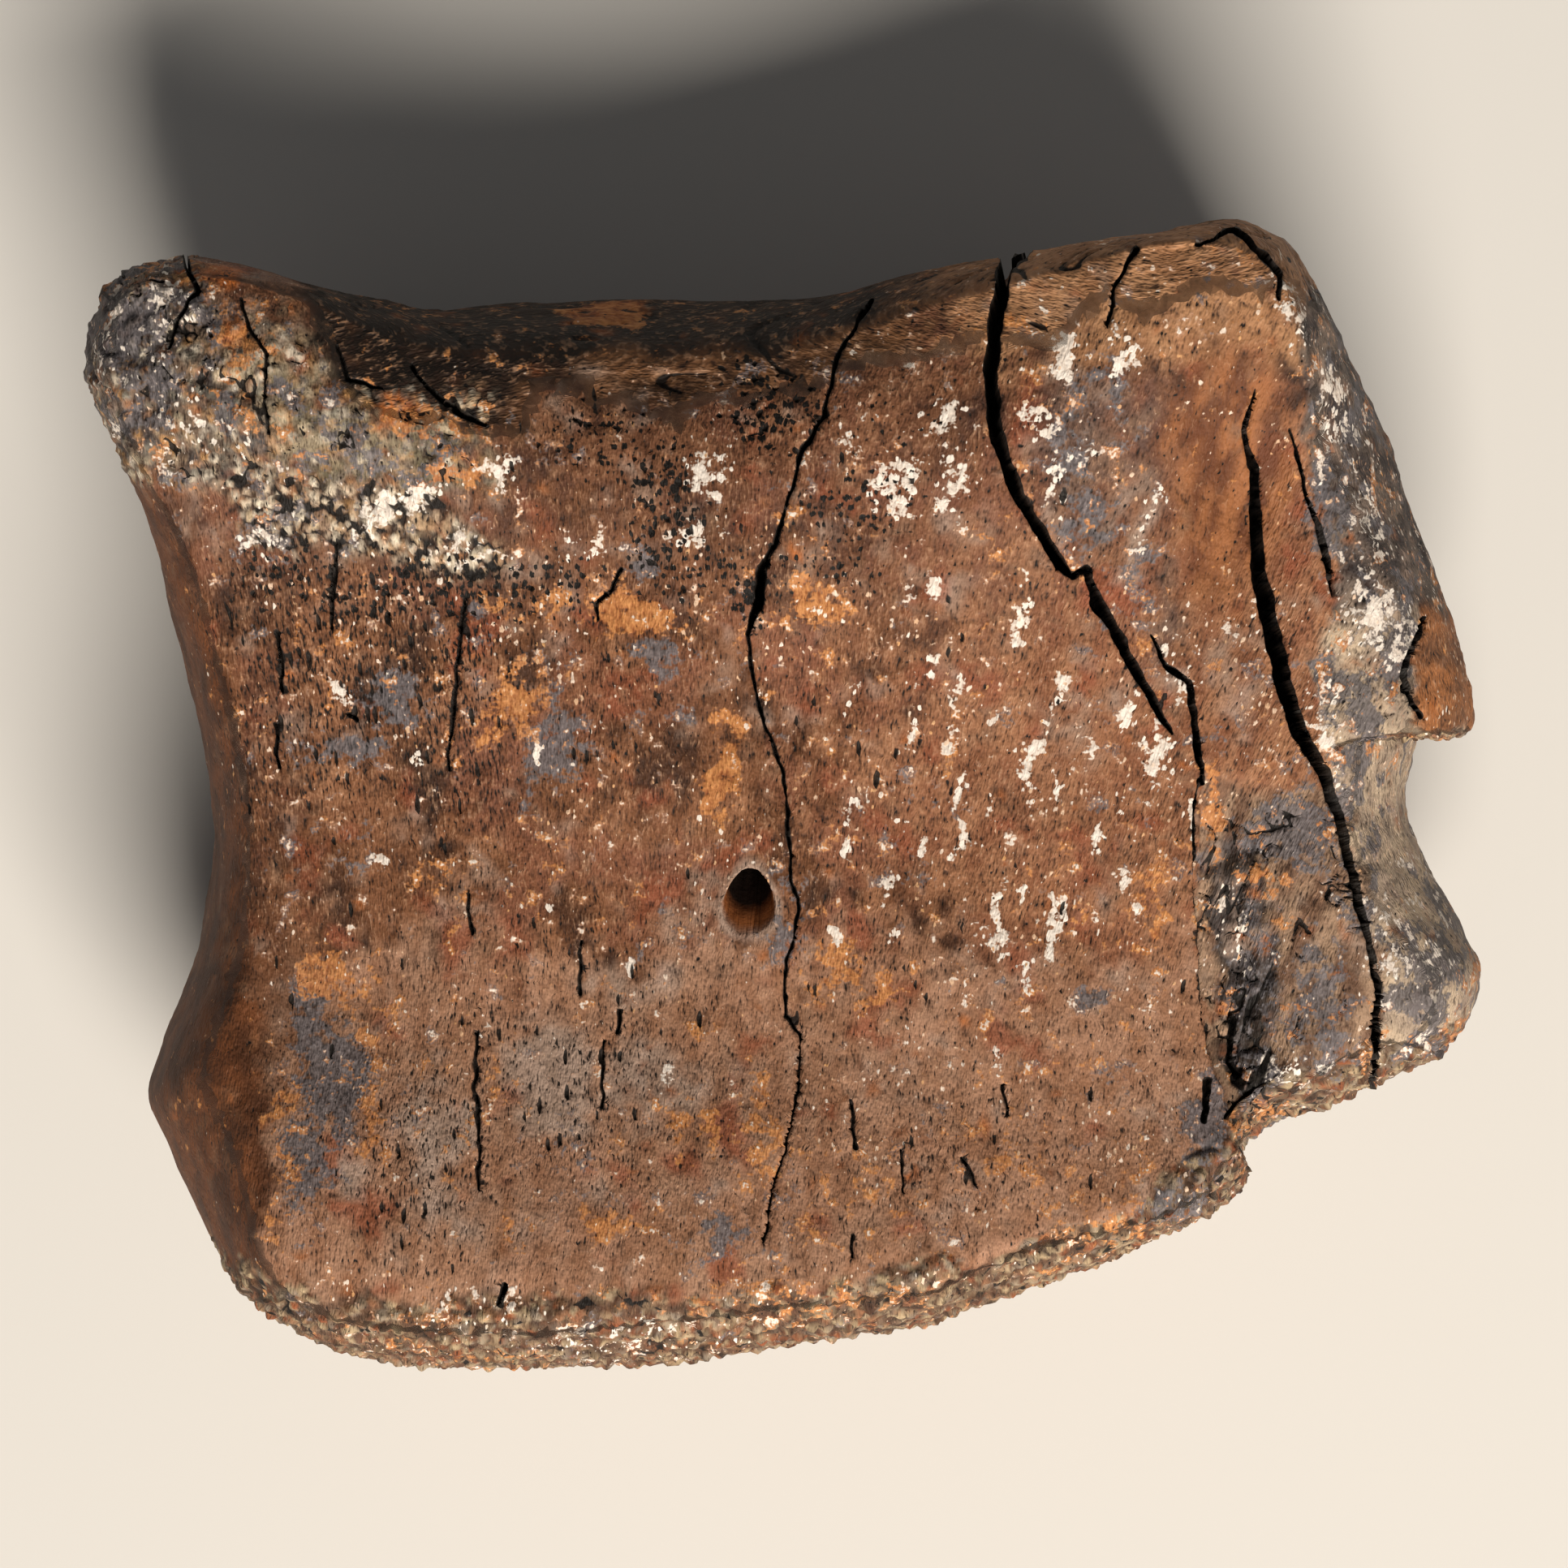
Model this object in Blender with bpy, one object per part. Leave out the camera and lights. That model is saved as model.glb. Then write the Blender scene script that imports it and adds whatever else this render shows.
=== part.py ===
"""A fossil toe bone of a large duck-billed dinosaur: one weathered, cracked solid.

The bone lies on its sole. X runs across the bone, Y along the toe towards its tip and Z up, to the back
of the toe. The tables are in millimetres, read from above the middle of the bone, and the finished solid
is in metres, with its origin under the middle of its box, on the surface that it rests on.
"""

import bmesh
import bpy
import numpy as np
from mathutils import Matrix, Vector

MM = 0.001

# Driving dimensions of the whole bone, in millimetres.
BONE_WIDTH = 104.6
BONE_LENGTH = 84.8
BONE_THICKNESS = 45.4

# Cells of the grid between two rows of the rim, and from the back round the edge to the sole.
CELLS_A_STEP = 2
CELLS_ROUND = 12

# The rim is the widest line round the bone. Each row holds a point's x and y, its height above the sole,
# and the width of the flank that slopes up from it to the back of the bone. Opposite sides have as many
# rows as each other.
LEFT_RIM = (
    (-40.4, -36.4, 28, 4.0),
    (-43.5, -32.2, 22, 6.5),
    (-46.0, -27.4, 20, 8.5),
    (-48.1, -22.8, 19, 9.5),
    (-46.8, -18.2, 17, 8.4),
    (-44.8, -12.9, 16, 6.8),
    (-43.7, -7.3, 16, 5.6),
    (-43.1, -2.1, 17, 5.0),
    (-43.4, 3.7, 18, 4.8),
    (-44.9, 8.8, 19, 5.2),
    (-46.9, 14.3, 20, 5.6),
    (-47.7, 19.7, 22, 5.2),
    (-49.2, 24.8, 25, 4.2),
    (-51.5, 31.3, 28, 2.6),
    (-50.2, 37.2, 29, 2.0),
)
RIGHT_RIM = (
    (49.7, -19.5, 22, 9.0),
    (52.2, -16.8, 20, 11.0),
    (53.1, -13.4, 19, 12.0),
    (51.5, -10.1, 18, 11.4),
    (49.0, -5.5, 18, 10.0),
    (47.4, -0.9, 19, 9.0),
    (47.9, 3.8, 20, 9.4),
    (48.2, 4.6, 21, 9.8),
    (51.7, 4.9, 22, 12.5),
    (51.4, 9.3, 22, 12.3),
    (50.1, 15.5, 22, 11.0),
    (47.4, 21.9, 22, 9.6),
    (44.6, 28.6, 23, 7.6),
    (41.4, 35.4, 25, 5.0),
    (37.0, 41.0, 28, 2.6),
)
TIP_RIM = (
    LEFT_RIM[-1],
    (-47.6, 39.3, 29, 2.2),
    (-44.6, 40.2, 28, 3.0),
    (-40.2, 39.6, 26, 4.0),
    (-35.6, 38.5, 24, 5.5),
    (-30.6, 37.4, 23, 6.5),
    (-25.6, 36.2, 22, 7.0),
    (-20.2, 36.8, 22, 7.0),
    (-14.0, 37.2, 22, 7.0),
    (-7.7, 37.2, 22, 6.8),
    (-1.6, 37.3, 22, 6.2),
    (4.0, 37.5, 23, 5.4),
    (8.9, 38.7, 24, 4.6),
    (14.4, 39.9, 25, 4.0),
    (20.5, 40.9, 26, 3.4),
    (26.4, 41.5, 27, 3.0),
    (32.9, 42.6, 28, 2.6),
    RIGHT_RIM[-1],
)
ROOT_RIM = (
    LEFT_RIM[0],
    (-37.0, -38.5, 31, 3.6),
    (-32.9, -40.9, 32, 4.6),
    (-28.1, -42.0, 33, 5.4),
    (-22.8, -42.0, 33, 5.8),
    (-16.9, -41.9, 33, 6.0),
    (-11.0, -41.7, 33, 6.0),
    (-5.7, -41.4, 33, 5.6),
    (-0.4, -40.6, 33, 5.2),
    (5.5, -39.8, 33, 5.0),
    (10.9, -38.8, 33, 4.8),
    (16.7, -36.6, 33, 4.6),
    (22.7, -34.8, 32, 4.2),
    (28.1, -32.6, 31, 4.0),
    (33.0, -30.3, 29, 4.0),
    (35.8, -26.9, 26, 4.0),
    (41.0, -23.2, 24, 6.0),
    RIGHT_RIM[0],
)

# The back of the bone is a low saddle: a crown with swellings and hollows on it. Each row holds a
# centre, the half-lengths along x and y, and the height, which is below zero for a hollow.
BACK_HEIGHT = 38.6
CROWN_DROP = 3.0
CROWN_HALF_WIDTH = 48.0
BACK_RELIEF = (
    (-4.0, -37.0, 62.0, 17.0, 6.8),
    (0.0, 26.0, 60.0, 13.0, 2.4),
    (-41.0, 31.5, 12.0, 8.0, 3.0),
    (-29.0, 26.5, 9.5, 6.5, 1.9),
    (29.0, 34.5, 14.0, 8.0, 3.0),
    (-10.0, 39.0, 21.0, 10.5, -6.0),
    (34.0, 21.5, 5.0, 9.5, -2.4),
    (12.0, 23.0, 13.0, 9.0, 0.8),
    (-18.0, 16.0, 11.0, 5.0, -0.7),
    (-34.0, -4.0, 8.0, 20.0, -1.0),
    (-36.0, -27.0, 8.0, 10.0, 0.9),
    (10.0, -12.0, 15.0, 9.0, 0.7),
)
# A slab has broken off beside the root end, along a line of points with x, y and the step down to the
# right of each. The break dies out towards the flank.
BREAK_LINE = (
    (29.4, 2.6, 0.2),
    (30.9, -1.5, 1.3),
    (30.5, -6.5, 1.9),
    (30.9, -12.0, 2.3),
    (31.9, -18.5, 2.4),
    (34.3, -25.0, 2.1),
    (36.8, -33.0, 1.6),
)
BREAK_WIDTH = 8.0

# The sole stands on four worn pads: x, y and the half-lengths along x and y.
SOLE_HOLLOW = 4.8
SOLE_PAD_DROP = 6.2
SOLE_PADS = (
    (-23.0, -22.0, 19.0, 11.0),
    (19.0, -18.0, 17.0, 10.0),
    (-25.0, 21.0, 15.0, 10.0),
    (19.0, 22.0, 15.0, 10.0),
)
SOLE_SHARE = 0.8
# The edges of the back and the sole are evener than the rim, by this share of the way round, and the
# small steps of the rim, such as the flake, fade out within this share of the wall below it.
BACK_EDGE_SMOOTHING = 1 / 60
SOLE_EDGE_SMOOTHING = 1 / 12
RIM_SMOOTHING = 1 / 24
RIM_STEP_FADE = 0.4

# Hollows pressed into the flanks and ends: centre x, y, z, half-lengths along x, y and z, then the push.
FLANK_HOLLOWS = (
    (-2.0, -43.0, 17.0, 33.0, 12.0, 8.5, (0.0, 4.0, 0.0)),
    (-48.0, 19.0, 16.0, 9.0, 8.0, 8.0, (3.0, 0.0, 0.0)),
    (47.0, 16.0, 12.0, 9.0, 8.0, 7.0, (-2.6, 0.0, 0.0)),
    (-8.0, 38.0, 8.0, 13.0, 9.0, 8.0, (0.0, -2.6, 0.0)),
)

# The flank above the rim is nearly a straight slope, and the wall below it is fuller.
FLANK_POWER = 1.8
WALL_POWER = 2.2

# Slow unevenness of the weathered surface: turns per metre along x, y and z, and the height of the wave.
WAVES = (
    (31.0, 44.0, 12.0, 0.15),
    (-52.0, 27.0, 38.0, 0.13),
    (66.0, -39.0, -24.0, 0.1),
    (15.0, 71.0, -47.0, 0.09),
)

# Cracks: x, y and the width of the gap at each point, with the depth of the whole crack first.
CRACKS = {
    "middle_crack": (
        7.0,
        (
            (7.4, 37.0, 0.5),
            (5.5, 33.8, 0.6),
            (3.0, 27.7, 0.5),
            (0.1, 19.8, 0.45),
            (-1.2, 16.1, 0.7),
            (-1.9, 13.2, 1.2),
            (-2.7, 10.5, 0.5),
            (-1.9, 6.2, 0.5),
            (-0.2, 1.5, 0.35),
            (0.8, -8.4, 0.35),
            (0.1, -16.8, 0.35),
            (1.0, -21.8, 0.2),
        ),
    ),
    "wide_crack": (
        9.0,
        (
            (16.9, 42.5, 0.9),
            (15.7, 35.3, 1.2),
            (15.0, 29.5, 1.1),
            (15.7, 23.6, 1.1),
            (18.9, 17.2, 1.0),
            (21.2, 14.5, 0.7),
            (23.8, 10.5, 1.0),
            (27.1, 4.9, 0.7),
            (28.2, 3.0, 0.15),
        ),
    ),
    "forked_crack": (
        6.0,
        (
            (26.6, 10.6, 0.15),
            (27.6, 8.3, 0.4),
            (29.0, 7.0, 0.5),
            (29.5, 3.8, 0.6),
            (30.0, 0.0, 0.2),
        ),
    ),
    "edge_crack": (
        11.0,
        (
            (33.7, 28.3, 0.15),
            (33.0, 25.4, 0.4),
            (33.9, 18.5, 1.0),
            (34.7, 12.6, 1.3),
            (36.0, 6.7, 1.2),
            (39.2, -0.5, 1.1),
            (41.2, -8.6, 0.8),
            (43.2, -13.8, 0.6),
            (42.8, -19.6, 0.6),
            (42.9, -26.5, 0.5),
        ),
    ),
}
CRACK_FLOOR_SHARE = 0.25
CUTTER_REACH = 12.0

# The nutrient hole slants from the middle of the back down towards the tip end.
NUTRIENT_HOLE_CENTRE = (-2.5, -8.1)
NUTRIENT_HOLE_RADII = (2.05, 2.1)
NUTRIENT_HOLE_DEPTH = 8.0
NUTRIENT_HOLE_SLANT = 0.75
NUTRIENT_HOLE_SIDES = 14


def clear_scene():
    """Removes whatever the scene holds."""
    for item in list(bpy.data.objects):
        bpy.data.objects.remove(item)


def smooth_run(rows):
    """Reads a Catmull-Rom curve through the rows, with the cells of the grid between each two."""
    rows = np.array(rows, float)
    run = np.vstack([2 * rows[0] - rows[1], rows, 2 * rows[-1] - rows[-2]])
    along = np.linspace(0, len(rows) - 1, CELLS_A_STEP * (len(rows) - 1) + 1)
    start = np.minimum(along.astype(int), len(rows) - 2)
    part = (along - start)[:, None]
    a, b, c, d = (run[start + step] for step in range(4))
    bend = 2 * a - 5 * b + 4 * c - d
    twist = 3 * b - a - 3 * c + d
    return 0.5 * (2 * b + (c - a) * part + bend * part**2 + twist * part**3)


def swell(offset_x, offset_y, half_x, half_y):
    """A round swelling that is 1 at its centre and fades outwards."""
    return np.exp(-((offset_x / half_x) ** 2) - (offset_y / half_y) ** 2)


def back_height(x, y):
    """Height of the back of the bone over the sole at x, y."""
    height = BACK_HEIGHT - CROWN_DROP * (x / CROWN_HALF_WIDTH) ** 2
    for centre_x, centre_y, half_x, half_y, rise in BACK_RELIEF:
        height += rise * swell(x - centre_x, y - centre_y, half_x, half_y)
    return height


def sole_height(x, y):
    """Height of the sole at x, y, below zero where a pad is worn flat."""
    height = np.full(np.shape(x), SOLE_HOLLOW)
    for centre_x, centre_y, half_x, half_y in SOLE_PADS:
        height -= SOLE_PAD_DROP * swell(x - centre_x, y - centre_y, half_x, half_y)
    return height


def fill_between(low, high, left, right):
    """Fills four edge curves with a grid: both ruled fills, less the flat fill of the corners."""
    across = np.linspace(0, 1, len(low))[:, None, None]
    along = np.linspace(0, 1, len(left))[None, :, None]
    ruled_along = (1 - along) * low[:, None] + along * high[:, None]
    ruled_across = (1 - across) * left[None] + across * right[None]
    corners = (1 - along) * ((1 - across) * low[0] + across * low[-1])
    corners = corners + along * ((1 - across) * high[0] + across * high[-1])
    return ruled_along + ruled_across - corners


def ring_order(cells_across, cells_along):
    """Grid places of the edge of a patch, anticlockwise from its first corner."""
    low = [(i, 0) for i in range(cells_across)]
    right = [(cells_across, j) for j in range(cells_along)]
    high = [(i, cells_along) for i in range(cells_across, 0, -1)]
    left = [(0, j) for j in range(cells_along, 0, -1)]
    return np.array(low + right + high + left)


def patch(ring, across, along, heights):
    """Points of a grid that fills a closed ring of edge points, with its height from a function."""
    low = ring[: across + 1]
    right = ring[across : across + along + 1]
    high = ring[across + along : 2 * across + along + 1][::-1]
    left = np.vstack([ring[2 * across + along :], ring[:1]])[::-1]
    grid = fill_between(low, high, left, right)
    return np.dstack([grid, heights(grid[..., 0], grid[..., 1])])


def smooth_ring(ring, share):
    """Evens out a closed ring by averaging over a share of its length."""
    reach = max(1, round(len(ring) * share))
    return sum(np.roll(ring, step, 0) for step in range(-reach, reach + 1)) / (2 * reach + 1)


def rounded(rim, edge, angle, power):
    """Points at an angle of a superelliptic quarter, from the edge at 0 down to the rim at 90 degrees."""
    inset = 1 - np.sin(angle) ** (2 / power)
    level = np.abs(np.cos(angle)) ** (2 / power)
    plan = rim[:, :2] + (edge[:, :2] - rim[:, :2]) * inset
    height = rim[:, 2] + (edge[:, 2] - rim[:, 2]) * level
    return np.column_stack([plan, height])


def press(points):
    """Presses the hollows into the flanks and ends, and adds the slow unevenness."""
    moved = points.copy()
    for x, y, z, half_x, half_y, half_z, push in FLANK_HOLLOWS:
        offset = (points - (x, y, z)) / (half_x, half_y, half_z)
        moved += np.exp(-(offset**2).sum(1))[:, None] * np.array(push)
    outward = points - points.mean(0)
    outward /= np.linalg.norm(outward, axis=1)[:, None]
    for *turns, rise in WAVES:
        moved += rise * np.sin(2 * np.pi * MM * points @ np.array(turns))[:, None] * outward
    moved[:, 2] = np.maximum(moved[:, 2], 0)
    return moved


def bone_surface():
    """Points and four-sided faces of the uncut bone, in table millimetres."""
    low, right, high, left = (smooth_run(rows) for rows in (ROOT_RIM, RIGHT_RIM, TIP_RIM, LEFT_RIM))
    across, along = len(low) - 1, len(left) - 1
    rim = np.vstack([low[:-1], right[:-1], high[:0:-1], left[:0:-1]])
    reach = np.linalg.norm(rim[:, :2], axis=1)
    back_ring = smooth_ring(rim[:, :2] * (1 - rim[:, 3] / reach)[:, None], BACK_EDGE_SMOOTHING)
    sole_ring = smooth_ring(rim[:, :2], SOLE_EDGE_SMOOTHING) * SOLE_SHARE

    back = patch(back_ring, across, along, back_height)
    sole = patch(sole_ring, across, along, sole_height)
    places = ring_order(across, along)
    back_edge = back[places[:, 0], places[:, 1]]
    sole_edge = sole[places[:, 0], places[:, 1]]

    even_rim = smooth_ring(rim, RIM_SMOOTHING)
    rows = []
    for angle in np.linspace(0, np.pi, CELLS_ROUND + 1)[1:-1]:
        below = max(0, angle / (np.pi / 2) - 1)
        edge, power = (sole_edge, WALL_POWER) if below else (back_edge, FLANK_POWER)
        step_share = max(0, 1 - below / RIM_STEP_FADE)
        rows.append(rounded(even_rim + (rim - even_rim) * step_share, edge, angle, power))

    per_patch = (across + 1) * (along + 1)
    ring_ids = places[:, 0] * (along + 1) + places[:, 1]
    first_row = 2 * per_patch
    rings = [ring_ids]
    for row in range(len(rows)):
        rings.append(first_row + row * len(rim) + np.arange(len(rim)))
    rings.append(ring_ids + per_patch)

    corner = np.arange(per_patch).reshape(across + 1, along + 1)
    cell = [corner[:-1, :-1], corner[1:, :-1], corner[1:, 1:], corner[:-1, 1:]]
    back_faces = np.stack([part.ravel() for part in cell], 1)
    sole_faces = back_faces[:, ::-1] + per_patch
    wall_faces = [
        np.stack([upper, lower, np.roll(lower, -1), np.roll(upper, -1)], 1)
        for upper, lower in zip(rings[:-1], rings[1:])
    ]
    points = np.vstack([back.reshape(-1, 3), sole.reshape(-1, 3), *rows])
    return press(points), np.vstack([back_faces, sole_faces, *wall_faces])


class Placing:
    """Takes table millimetres to the finished bone in metres, at its driving size."""

    def __init__(self, points):
        low, high = points.min(0), points.max(0)
        size = np.array([BONE_WIDTH, BONE_LENGTH, BONE_THICKNESS])
        self.scale = size / (high - low)
        self.middle = np.array([(low[0] + high[0]) / 2, (low[1] + high[1]) / 2, low[2]])

    def place(self, points):
        """The points in metres."""
        return (np.array(points, float) - self.middle) * self.scale * MM


def add_object(name, points, faces):
    """A mesh object made of points and faces, with its faces pointing out."""
    mesh = bpy.data.meshes.new(name)
    mesh.from_pydata([tuple(p) for p in points], [], [tuple(int(i) for i in f) for f in faces])
    shape = bmesh.new()
    shape.from_mesh(mesh)
    bmesh.ops.recalc_face_normals(shape, faces=shape.faces)
    shape.to_mesh(mesh)
    shape.free()
    item = bpy.data.objects.new(name, mesh)
    bpy.context.scene.collection.objects.link(item)
    return item


def blade(name, corners, placing):
    """A long cutter with four corners at each of its stations, closed at both ends."""
    points = np.stack(corners, 1).reshape(-1, 3)
    faces = [(0, 1, 2, 3)]
    for step in range(len(corners[0]) - 1):
        here, there = 4 * step, 4 * (step + 1)
        for edge in range(4):
            after = (edge + 1) % 4
            faces.append((here + edge, here + after, there + after, there + edge))
    end = len(points) - 4
    faces.append((end + 3, end + 2, end + 1, end))
    return add_object(name, placing.place(points), faces)


def crack_cutter(name, depth, rows, placing):
    """A narrow blade that follows a crack from above the bone down to the crack's floor."""
    rows = np.array(rows, float)
    centre = rows[:, :2]
    run = np.gradient(centre, axis=0)
    run /= np.linalg.norm(run, axis=1)[:, None]
    side = np.column_stack([-run[:, 1], run[:, 0]]) * rows[:, 2:] / 2
    surface = back_height(centre[:, 0], centre[:, 1])[:, None]
    top, floor = surface + CUTTER_REACH, surface - depth
    corners = (
        np.hstack([centre + side, top]),
        np.hstack([centre - side, top]),
        np.hstack([centre - side * CRACK_FLOOR_SHARE, floor]),
        np.hstack([centre + side * CRACK_FLOOR_SHARE, floor]),
    )
    return blade(name, corners, placing)


def broken_slab_cutter(placing):
    """A wedge that takes off the broken slab: a steep step on the left, nothing at the right."""
    x, y, step = np.array(BREAK_LINE, float).T
    surface = back_height(x, y)
    far_x = x + BREAK_WIDTH
    far_surface = back_height(far_x, y)
    corners = (
        np.column_stack([far_x, y, far_surface + CUTTER_REACH]),
        np.column_stack([x, y, surface + CUTTER_REACH]),
        np.column_stack([x, y, surface - step]),
        np.column_stack([far_x, y, far_surface + 0.5]),
    )
    return blade("broken_slab_cutter", corners, placing)


def nutrient_hole_cutter(placing):
    """A slanted, tapering round peg, wider at the mouth, for the hole that fed the living bone."""
    x, y = NUTRIENT_HOLE_CENTRE
    mouth = Vector(placing.place((x, y, float(back_height(np.float64(x), np.float64(y))))))
    slant = Vector((0.1, NUTRIENT_HOLE_SLANT, -1)).normalized()
    reach = NUTRIENT_HOLE_DEPTH * MM
    shape = bmesh.new()
    bmesh.ops.create_cone(
        shape,
        cap_ends=True,
        segments=NUTRIENT_HOLE_SIDES,
        radius1=0.6,
        radius2=1.25,
        depth=2,
    )
    turn = (-slant).to_track_quat("Z", "Y").to_matrix().to_4x4()
    stretch = Matrix.Diagonal((*(radius * MM for radius in NUTRIENT_HOLE_RADII), reach, 1))
    bmesh.ops.transform(shape, matrix=Matrix.Translation(mouth) @ turn @ stretch, verts=shape.verts)
    mesh = bpy.data.meshes.new("nutrient_hole_cutter")
    shape.to_mesh(mesh)
    shape.free()
    item = bpy.data.objects.new("nutrient_hole_cutter", mesh)
    bpy.context.scene.collection.objects.link(item)
    return item


def cut(bone, cutter):
    """Cuts one shape out of the bone and hides the cutter."""
    cutter.hide_render = True
    cutter.display_type = "WIRE"
    step = bone.modifiers.new(cutter.name, "BOOLEAN")
    step.operation = "DIFFERENCE"
    step.object = cutter


def fossil_bone_material():
    """Mineral-stained fossil bone: brown, matt and not metallic."""
    material = bpy.data.materials.new("fossil_bone")
    material.use_nodes = True
    shader = material.node_tree.nodes["Principled BSDF"]
    shader.inputs["Base Color"].default_value = (0.23, 0.115, 0.06, 1)
    shader.inputs["Roughness"].default_value = 0.72
    shader.inputs["Metallic"].default_value = 0
    return material


def main():
    """Builds the bone and cuts its cracks and nutrient hole."""
    clear_scene()
    points, faces = bone_surface()
    placing = Placing(points)
    bone = add_object("toe_bone", placing.place(points), faces)
    bone.data.materials.append(fossil_bone_material())
    bone.data.shade_smooth()
    for name, (depth, rows) in CRACKS.items():
        cut(bone, crack_cutter(name, depth, rows, placing))
    cut(bone, broken_slab_cutter(placing))
    cut(bone, nutrient_hole_cutter(placing))


main()
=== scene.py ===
"""Dresses the fossil toe bone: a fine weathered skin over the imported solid, its mineral stains and a studio.

Tables are in millimetres. Those of the form are the plan of the bone itself, and those of cracks, holes and
stains are places as the camera above sees them, which lie a little further out the higher the surface is.
"""

import logging
from collections.abc import Callable, Sequence
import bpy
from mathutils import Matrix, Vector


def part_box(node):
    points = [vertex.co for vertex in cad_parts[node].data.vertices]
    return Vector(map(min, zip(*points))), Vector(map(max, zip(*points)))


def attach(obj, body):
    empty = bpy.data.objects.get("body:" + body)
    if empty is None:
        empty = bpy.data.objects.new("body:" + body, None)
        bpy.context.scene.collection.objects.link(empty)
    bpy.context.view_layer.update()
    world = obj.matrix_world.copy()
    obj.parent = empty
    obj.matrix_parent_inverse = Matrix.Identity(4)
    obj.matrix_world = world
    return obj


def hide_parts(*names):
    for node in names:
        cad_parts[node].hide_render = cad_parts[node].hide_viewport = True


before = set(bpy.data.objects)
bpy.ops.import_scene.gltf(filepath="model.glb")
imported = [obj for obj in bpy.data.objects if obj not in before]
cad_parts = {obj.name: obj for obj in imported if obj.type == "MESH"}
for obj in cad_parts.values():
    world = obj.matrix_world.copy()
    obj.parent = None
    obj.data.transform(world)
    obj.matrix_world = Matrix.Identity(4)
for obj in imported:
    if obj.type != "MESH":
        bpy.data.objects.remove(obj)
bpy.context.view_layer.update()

from concurrent.futures import ThreadPoolExecutor
from dataclasses import dataclass
from enum import Enum, IntEnum

import bpy
import numpy as np
from mathutils import Vector

Array = np.ndarray
Masks = dict[str, Array]
Rows = tuple[tuple[float, ...], ...]
Sizes = tuple[float, float, float]
Socket = bpy.types.NodeSocket
Sockets = dict[int | str, object]

MM = 0.001
NODE = "toe_bone"
# A gap field holds this, in millimetres, where there is no opening near.
NO_GAP = 2.0


class Seed(IntEnum):
    """Starting numbers of the random fields, so that every run gives the same bone."""

    LUMPS = 3
    FIBRES = 5
    JAGS = 8
    PORES = 13
    SLITS = 21
    GRAINS = 34
    PATCHES = 55
    HIDDEN_CRACKS = 89


class Axis(IntEnum):
    """The axis that a border is read along: x runs to the right and y towards the tip."""

    X = 0
    Y = 1


class Kind(Enum):
    """The nodes that the material is made of."""

    PLACE = "ShaderNodeTexCoord"
    FACT = "ShaderNodeAttribute"
    NOISE = "ShaderNodeTexNoise"
    CELLS = "ShaderNodeTexVoronoi"
    MATHS = "ShaderNodeMath"
    VECTOR_MATHS = "ShaderNodeVectorMath"
    RAMP = "ShaderNodeMapRange"
    MIX = "ShaderNodeMix"
    PARTS = "ShaderNodeSeparateXYZ"
    CHANNELS = "ShaderNodeSeparateColor"
    BUMP = "ShaderNodeBump"


# The rim of the bone is its widest line. Each row holds x, y, the height over the sole and the width of the
# flank above it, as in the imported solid.
LEFT_RIM: Rows = (
    (-40.4, -36.4, 28, 4.0), (-43.5, -32.2, 22, 6.5), (-46.0, -27.4, 20, 8.5), (-48.1, -22.8, 19, 9.5),
    (-46.8, -18.2, 17, 8.4), (-44.8, -12.9, 16, 6.8), (-43.7, -7.3, 16, 5.6), (-43.1, -2.1, 17, 5.0),
    (-43.4, 3.7, 18, 4.8), (-44.9, 8.8, 19, 5.2), (-46.9, 14.3, 20, 5.6), (-47.7, 19.7, 22, 5.2),
    (-49.2, 24.8, 25, 4.2), (-51.5, 31.3, 28, 2.6), (-50.2, 37.2, 29, 2.0),
)
RIGHT_RIM: Rows = (
    (49.7, -19.5, 22, 9.0), (52.2, -16.8, 20, 11.0), (53.1, -13.4, 19, 12.0), (51.5, -10.1, 18, 11.4),
    (49.0, -5.5, 18, 10.0), (47.4, -0.9, 19, 9.0), (47.9, 3.8, 20, 9.4), (48.2, 4.6, 21, 9.8),
    (51.7, 4.9, 22, 12.5), (51.4, 9.3, 22, 12.3), (50.1, 15.5, 22, 11.0), (47.4, 21.9, 22, 9.6),
    (44.6, 28.6, 23, 7.6), (41.4, 35.4, 25, 5.0), (37.0, 41.0, 28, 2.6),
)
TIP_RIM: Rows = (
    LEFT_RIM[-1], (-47.6, 39.3, 29, 2.2), (-44.6, 40.2, 28, 3.0), (-40.2, 39.6, 26, 4.0),
    (-35.6, 38.5, 24, 5.5), (-30.6, 37.4, 23, 6.5), (-25.6, 36.2, 22, 7.0), (-20.2, 36.8, 22, 7.0),
    (-14.0, 37.2, 22, 7.0), (-7.7, 37.2, 22, 6.8), (-1.6, 37.3, 22, 6.2), (4.0, 37.5, 23, 5.4),
    (8.9, 38.7, 24, 4.6), (14.4, 39.9, 25, 4.0), (20.5, 40.9, 26, 3.4), (26.4, 41.5, 27, 3.0),
    (32.9, 42.6, 28, 2.6), RIGHT_RIM[-1],
)
ROOT_RIM: Rows = (
    LEFT_RIM[0], (-37.0, -38.5, 31, 3.6), (-32.9, -40.9, 32, 4.6), (-28.1, -42.0, 33, 5.4),
    (-22.8, -42.0, 33, 5.8), (-16.9, -41.9, 33, 6.0), (-11.0, -41.7, 33, 6.0), (-5.7, -41.4, 33, 5.6),
    (-0.4, -40.6, 33, 5.2), (5.5, -39.8, 33, 5.0), (10.9, -38.8, 33, 4.8), (16.7, -36.6, 33, 4.6),
    (22.7, -34.8, 32, 4.2), (28.1, -32.6, 31, 4.0), (33.0, -30.3, 29, 4.0), (35.8, -26.9, 26, 4.0),
    (41.0, -23.2, 24, 6.0), RIGHT_RIM[0],
)
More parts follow.
